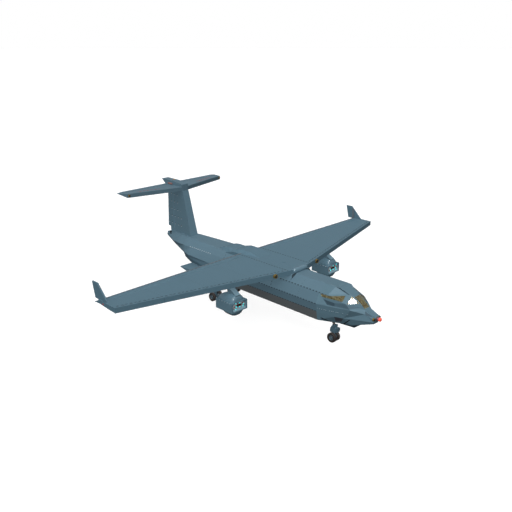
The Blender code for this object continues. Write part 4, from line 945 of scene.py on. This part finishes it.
def at_mouth(aside=0.0, inwards=0.0, up=0.0):
    """A place measured from the middle of the port intake's mouth."""
    return (MOUTH[0] + aside, MOUTH[1] + inwards, MOUTH[2] + up)


guide = ring_piece(at_mouth(inwards=0.10), "y", 0.355, 0.20, 0.07, 40)
guide.scale = (GUIDE_STRETCH, 1, 1)
only(guide)
bpy.ops.object.mode_set(mode="EDIT")
bpy.ops.mesh.select_all(action="SELECT")
bpy.ops.mesh.bisect(
    plane_co=(ENGINE_X, MOUTH[1], GUIDE_FLOOR_Z), plane_no=(0, 0, 1), clear_inner=True, use_fill=True)
done_editing()
soften(guide, 0.008)
pair(guide, "intake_guide_ring", guide_grey)

# %% Blocks round the guide ring
block_model = block((0, 0, 0), (0.13, 0.05, 0.07))
soften(block_model, 0.012)
settle(block_model, "guide_block", guide_grey, 0)
pads, vanes = [], []
for i in range(BLOCK_COUNT):
    angle = 2 * math.pi * (i + 0.5) / BLOCK_COUNT
    place = at_mouth(BLOCK_SPAN[0] * math.cos(angle), 0.055, BLOCK_SPAN[1] * math.sin(angle))
    if place[2] > GUIDE_FLOOR_Z:
        tooth = copy_piece(block_model, "guide_block", place)
        (pads if i % 3 else vanes).append(tooth)
bpy.data.objects.remove(block_model)
print("blocks:", len(pads), "pale and", len(vanes), "dark on each side")
pair(merge(pads, "intake_pads"), "intake_pads", guide_grey, smooth_angle=0)
pair(merge(vanes, "intake_vanes"), "intake_vanes", blade_metal, smooth_angle=0)

# %% Ice lamps and the lower lip
caps = [cap_piece(at_mouth(-across, 0.02, up), "y", 0.052, 0.05, vertices=12) for across, up in ICE_LAMPS]
pair(merge(caps, "ice_lamps"), "ice_lamps", cyan_lens)
LIP_SIZE = (1.44, 0.26, 0.08)
LIP_Z = 3.54
lip = block((ENGINE_X, MOUTH[1] + 0.09, LIP_Z), LIP_SIZE)
edit_edges(lip, lambda a, b: min(a.y, b.y) > MOUTH[1] + 0.2 and min(a.z, b.z) > LIP_Z + 0.03)
bpy.ops.transform.translate(value=(0, 0, 0.22))
done_editing()
soften(lip, 0.01)
pair(lip, "intake_lip", lip_paint, smooth_angle=0)

# %% [markdown]
# ## Lamps
# The landing lamps, the tail tips and the sides of the nose have a gilt ring with a dark
# crowned lens. The red nose lamp and the beacon get a collar. Each wing tip has a small red
# lamp in a dark ring, and a dark ring stands on each side of the hull's tail end.

# %% Lamp rings and lenses
LANDING_X = 2.93
LANDING_Z = 5.94
landing_front = leading_y(LANDING_X) - 0.12
pair(cap_piece((LANDING_X, landing_front - 0.015, LANDING_Z), "y", 0.135, 0.05), "landing_lens", dark_lens)
landing_ring = ring_piece((LANDING_X, landing_front - 0.01, LANDING_Z), "y", 0.205, 0.15, 0.06)
pair(landing_ring, "landing_ring", gold_rim)
WING_TIP = (HALF_SPAN - 0.03, 0.45, 5.97)
pair(cap_piece(WING_TIP, "x", 0.085, 0.05, sign=1), "wing_tip_lens", red_lens)
pair(ring_piece((WING_TIP[0] - 0.01, *WING_TIP[1:]), "x", 0.15, 0.11, 0.05), "wing_tip_ring", trim)
TAIL_ROOT = (0.6, 11.03 + SHIFT)
TAIL_TIP_X = 6.27
TAIL_TIP_Z = 10.95
tail_tip_front = TAIL_ROOT[1] + TAIL_SWEEP * (TAIL_TIP_X - TAIL_ROOT[0]) - 0.08
tail_tip = (TAIL_TIP_X, tail_tip_front - 0.01, TAIL_TIP_Z)
pair(cap_piece(tail_tip, "y", 0.085, 0.04), "tail_tip_lens", dark_lens)
TAIL_SIDE = (0.41, 13.35 + SHIFT, 5.48)
pair(ring_piece(TAIL_SIDE, "x", 0.16, 0.10, 0.10), "tail_side_ring", trim)
NOSE_SIDE_LAMP = (0.40, -14.62 + SHIFT, 3.80)
pair(ring_piece(NOSE_SIDE_LAMP, "y", 0.15, 0.10, 0.13), "nose_side_ring", gold_rim)
lens_place = (NOSE_SIDE_LAMP[0], NOSE_SIDE_LAMP[1] - 0.03, NOSE_SIDE_LAMP[2])
pair(cap_piece(lens_place, "y", 0.105, 0.10), "nose_side_lens", dark_lens)
NOSE_LAMP = (0, -14.74 + SHIFT, 3.80)
single(ring_piece(NOSE_LAMP, "y", 0.225, 0.175, 0.06), "nose_lamp_collar", gold_rim)
BEACON = (0, 12.9 + SHIFT, 11.615)
single(ring_piece(BEACON, "z", 0.16, 0.105, 0.03), "beacon_collar", rim_paint)

# %% [markdown]
# ## Rivet heads on the nose
# A row of bright raised heads runs along the nose's lower side. One low head is modelled on
# an eight-sided drum and copied along the row, which follows the slope of the side.

# %% Rivet heads
SIDE_CORNER = (2.10, -9.60 + SHIFT, SIDE_EDGE_Z)
SIDE_NORMAL = (0.956, -0.259, -0.138)
ROW_START = (-9.72 + SHIFT, 3.83)
ROW_LENGTH = 2.75
ROW_RISE = 0.04
HEAD_SHARES = (0.0, 0.07, 0.15, 0.23, 0.29, 0.41, 0.48, 0.53, 0.63, 0.69, 0.85, 1.0)


def side_x(y, z):
    """X of the plane of the nose's lower side at a Y and a height."""
    back = SIDE_NORMAL[1] * (y - SIDE_CORNER[1]) + SIDE_NORMAL[2] * (z - SIDE_CORNER[2])
    return SIDE_CORNER[0] - back / SIDE_NORMAL[0]


rivet = drum((0, 0, 0), "x", 0.036, 0.03, 8)
edit_faces(rivet, lambda at, n: n.x > 0.9)
bpy.ops.mesh.inset(thickness=0.012, depth=0.010)
done_editing()
settle(rivet, "rivet_head", rivet_paint, 60)
heads = []
for share in HEAD_SHARES:
    y = ROW_START[0] - ROW_LENGTH * share
    z = ROW_START[1] + ROW_RISE * share
    heads.append(copy_piece(rivet, "head", (side_x(y, z) + 0.004, y, z)))
bpy.data.objects.remove(rivet)
pair(merge(heads, "nose_rivets"), "nose_rivets", rivet_paint, smooth_angle=60)

# %% [markdown]
# ## The flight deck
# Through the glass one sees two seats with cushions and a panel with screens. A cushion is
# a block with wide rounded edges, which a subdivision crowns.

# %% Cushions, headrests and screens
seat_cloth = simple("seat_cloth", (0.16, 0.10, 0.055, 1), 0.85, grain=120.0, depth=0.002)
screen_glass = lens("screen_glass", (0.08, 0.26, 0.24, 1), 0.5)


def cushion(place, size, tilt, name):
    """A crowned pad on a seat."""
    made = block(place, size)
    made.rotation_euler[0] = tilt
    bpy.ops.object.transform_apply(location=False, rotation=True, scale=False)
    soften(made, min(size) * 0.42, 3)
    only(made)
    step = made.modifiers.new("crown", "SUBSURF")
    step.levels = 1
    step.render_levels = 1
    bpy.ops.object.modifier_apply(modifier=step.name)
    settle(made, name, seat_cloth, 180)
    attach(made, "airframe")
    return made


SEAT_X = 0.48
PANEL_Y = -11.985 + SHIFT
PANEL_Z = 4.24
BACK_LEAN = 0.17
SEAT_PADS = {
    "seat_cushion": (-11.08, 4.275, (0.46, 0.42, 0.13), 0.0),
    "seat_back_pad": (-10.83, 4.58, (0.44, 0.12, 0.56), BACK_LEAN),
    "headrest": (-10.72, 4.97, (0.26, 0.10, 0.18), BACK_LEAN),
}
for side, label in ((1, "left"), (-1, "right")):
    for kind, (station, z, size, tilt) in SEAT_PADS.items():
        cushion((SEAT_X * side, station + SHIFT, z), size, tilt, kind + "_" + label)
screens = []
for x in (-0.52, -0.26, 0.0, 0.26, 0.52):
    screen = block((x, PANEL_Y, PANEL_Z), (0.21, 0.03, 0.17))
    edit_faces(screen, lambda at, n: n.y > 0.9)
    bpy.ops.mesh.inset(thickness=0.012, depth=-0.006)
    done_editing()
    screens.append(screen)
single(merge(screens, "screens"), "screens", screen_glass, smooth_angle=0)

# %% [markdown]
# ## Gear details
# Boxes and hinged links are what one sees beside a real leg. The nose leg's boxes ride on
# the fork, because they steer with it. The brace stays with the aircraft.

# %% Boxes and brace of the nose leg
nose_y = NOSE_AXLE[1]
NOSE_BOXES = {
    "valve_box": ((0.25, nose_y - 0.05, 1.56), (0.20, 0.26, 0.18)),
    "lamp_box": ((0.33, nose_y - 0.30, 1.24), (0.16, 0.22, 0.26)),
    "side_plate": ((0.20, nose_y + 0.14, 1.13), (0.05, 0.30, 0.22)),
}
for label, (place, size) in NOSE_BOXES.items():
    made = block(place, size)
    edit_faces(made, lambda at, n: n.x > 0.9)
    bpy.ops.mesh.inset(thickness=0.03, depth=0.02)
    done_editing()
    soften(made, 0.01)
    pair(made, "nose_" + label, leg_finish, "nose_fork", 0)
BRACE_LEAN = -0.42
BRACE_MIDDLE = (0, nose_y + 0.33, 2.19)
BRACE_LENGTH = 0.92
brace = drum(BRACE_MIDDLE, "z", 0.045, BRACE_LENGTH, 12)
brace.rotation_euler[0] = BRACE_LEAN
single(brace, "nose_drag_brace", brown_leg)
print("nose leg brace:", [round(v, 2) for v in brace.dimensions])

# %% [markdown]
# Each main leg has a tapered upper and lower link behind it and a brake line down its side.
# The last pair here are the two actuators that move the elevators.

# %% Links, brake lines and tail actuators
LINKS = {"upper_link": (1.05, (0.10, 0.24, 0.34)), "lower_link": (0.80, (0.14, 0.18, 0.20))}
LINK_TAPER = 0.4
for label, (z, size) in LINKS.items():
    made = block((MAIN_AXLE[0], MAIN_AXLE[1] + 0.24, z), size)
    edit_faces(made, lambda at, n: n.y > 0.9)
    bpy.ops.transform.resize(value=(1, 1, LINK_TAPER))
    bpy.ops.mesh.inset(thickness=0.015, depth=0.01)
    done_editing()
    soften(made, 0.008)
    pair(made, "main_" + label, leg_finish, smooth_angle=0)
brake_line = drum((MAIN_AXLE[0] - 0.15, MAIN_AXLE[1] - 0.15, 1.35), "z", 0.02, 1.3, 10)
pair(brake_line, "main_brake_line", trim)
ACTUATOR = (0.50, 12.98 + SHIFT, 11.26)
actuator = drum(ACTUATOR, "y", 0.10, 0.62, 16)
edit_faces(actuator, lambda at, n: abs(n.y) > 0.9)
bpy.ops.mesh.inset(thickness=0.03, depth=0.05)
done_editing()
pair(actuator, "tail_actuator", actuator_paint)

# %% [markdown]
# ## The stage
# A plain pale floor that shines a little by itself, so that it stays even. It neither
# lights the aircraft nor shows in its gloss.

# %% Floor
FLOOR_RADIUS = 1500
FLOOR_Z = -0.002
done_editing()
bpy.ops.object.select_all(action="DESELECT")
bpy.ops.mesh.primitive_circle_add(
    vertices=64, radius=FLOOR_RADIUS, fill_type="NGON", location=(0, 0, FLOOR_Z))
floor = bpy.context.object
floor.name = "floor"
floor_finish = bpy.data.materials.new("floor_white")
floor_finish.use_nodes = True
shader = floor_finish.node_tree.nodes["Principled BSDF"]
shader.inputs["Base Color"].default_value = (0.55, 0.55, 0.55, 1)
shader.inputs["Roughness"].default_value = 1.0
shader.inputs["Specular IOR Level"].default_value = 0.0
shader.inputs["Emission Color"].default_value = (1, 1, 1, 1)
shader.inputs["Emission Strength"].default_value = 0.55
floor.data.materials.append(floor_finish)
floor.visible_diffuse = False
floor.visible_glossy = False
print("floor:", round(floor.dimensions.x), "m across")

# %% [markdown]
# ## Soft light
# The sky light is brighter overhead than at the horizon, and the camera sees it as white.

# %% Sky
EXPOSURE = 1.15
SKY_RISE = 0.42
SKY_LEVEL = 0.17
SKY_LEAST = 0.05
world = bpy.data.worlds.new("soft_sky")
bpy.context.scene.world = world
world.use_nodes = True
tree = world.node_tree
tree.nodes.clear()
direction = add(tree, "ShaderNodeTexCoord").outputs["Generated"]
rise = add(tree, "ShaderNodeSeparateXYZ", {0: direction}).outputs[2]
slope = maths(tree, "ADD", maths(tree, "MULTIPLY", rise, SKY_RISE), SKY_LEVEL)
strength = maths(tree, "MULTIPLY", maths(tree, "MAXIMUM", slope, SKY_LEAST), EXPOSURE)
soft = add(tree, "ShaderNodeBackground", {"Color": (1, 1, 1, 1), "Strength": strength})
white = add(tree, "ShaderNodeBackground", {"Color": (1, 1, 1, 1), "Strength": 1.0})
seen = add(tree, "ShaderNodeLightPath").outputs["Is Camera Ray"]
mixed = add(tree, "ShaderNodeMixShader", {0: seen, 1: soft.outputs[0], 2: white.outputs[0]})
add(tree, "ShaderNodeOutputWorld", {"Surface": mixed.outputs[0]})
print("sky:", len(tree.nodes), "nodes")

# %% [markdown]
# The key lamp stands high on the starboard bow. Most of its light casts no shadow, and a
# weak, broad part of it grounds the aircraft. One lamp right above shows only in gloss, and
# glints in the sloping quarter pane. A weak one on the port quarter keeps the far side clear.

# %% Lamps of the studio
def sun(name, toward, energy, angle, shadow):
    """A distant lamp. Without shadow it lights by the slope of a surface alone."""
    bpy.ops.object.light_add(type="SUN", location=[60 * v for v in toward])
    made = bpy.context.object
    made.name = name
    made.data.energy = energy * math.pi * EXPOSURE
    made.data.angle = math.radians(angle)
    made.data.use_shadow = shadow
    made.rotation_euler = Vector(toward).to_track_quat("Z", "Y").to_euler()
    return made


KEY = (-0.596, -0.425, 0.682)
OVERHEAD = (0.02, -0.268, 0.962)
PORT_QUARTER = (0.75, 0.66, -0.04)
sun("soft_key", KEY, energy=0.76, angle=4, shadow=False)
sun("shadow_key", KEY, energy=0.11, angle=30, shadow=True)
overhead = sun("overhead_glint", OVERHEAD, energy=0.75, angle=12, shadow=False)
overhead.visible_diffuse = False
overhead.visible_transmission = False
far_fill = sun("far_fill", PORT_QUARTER, energy=0.22, angle=20, shadow=False)
far_fill.visible_glossy = False
bpy.context.scene.view_settings.view_transform = "Standard"

# %% [markdown]
# ## The camera
# It stands off the starboard bow, 45 degrees round and about 19.5 degrees up, far enough
# for the whole span, with a 45 degree view.

# %% Camera
AZIMUTH = math.radians(-45)
ELEVATION = math.radians(19.471)
DISTANCE = 62.1
AIM = (0, SHIFT, 5.83)
eye = bpy.data.cameras.new("photo_camera")
eye.sensor_width = 36
eye.lens = 43.456
eye.clip_end = 4000
camera = bpy.data.objects.new("photo_camera", eye)
bpy.context.scene.collection.objects.link(camera)
level = math.cos(ELEVATION)
back = Vector((math.sin(AZIMUTH) * level, -math.cos(AZIMUTH) * level, math.sin(ELEVATION)))
camera.location = Vector(AIM) + back * DISTANCE
camera.rotation_euler = (-back).to_track_quat("-Z", "Y").to_euler()
bpy.context.scene.camera = camera
print("camera at", [round(v, 2) for v in camera.location])

# %% [markdown]
# ## Finish

# %% The end
done_editing()
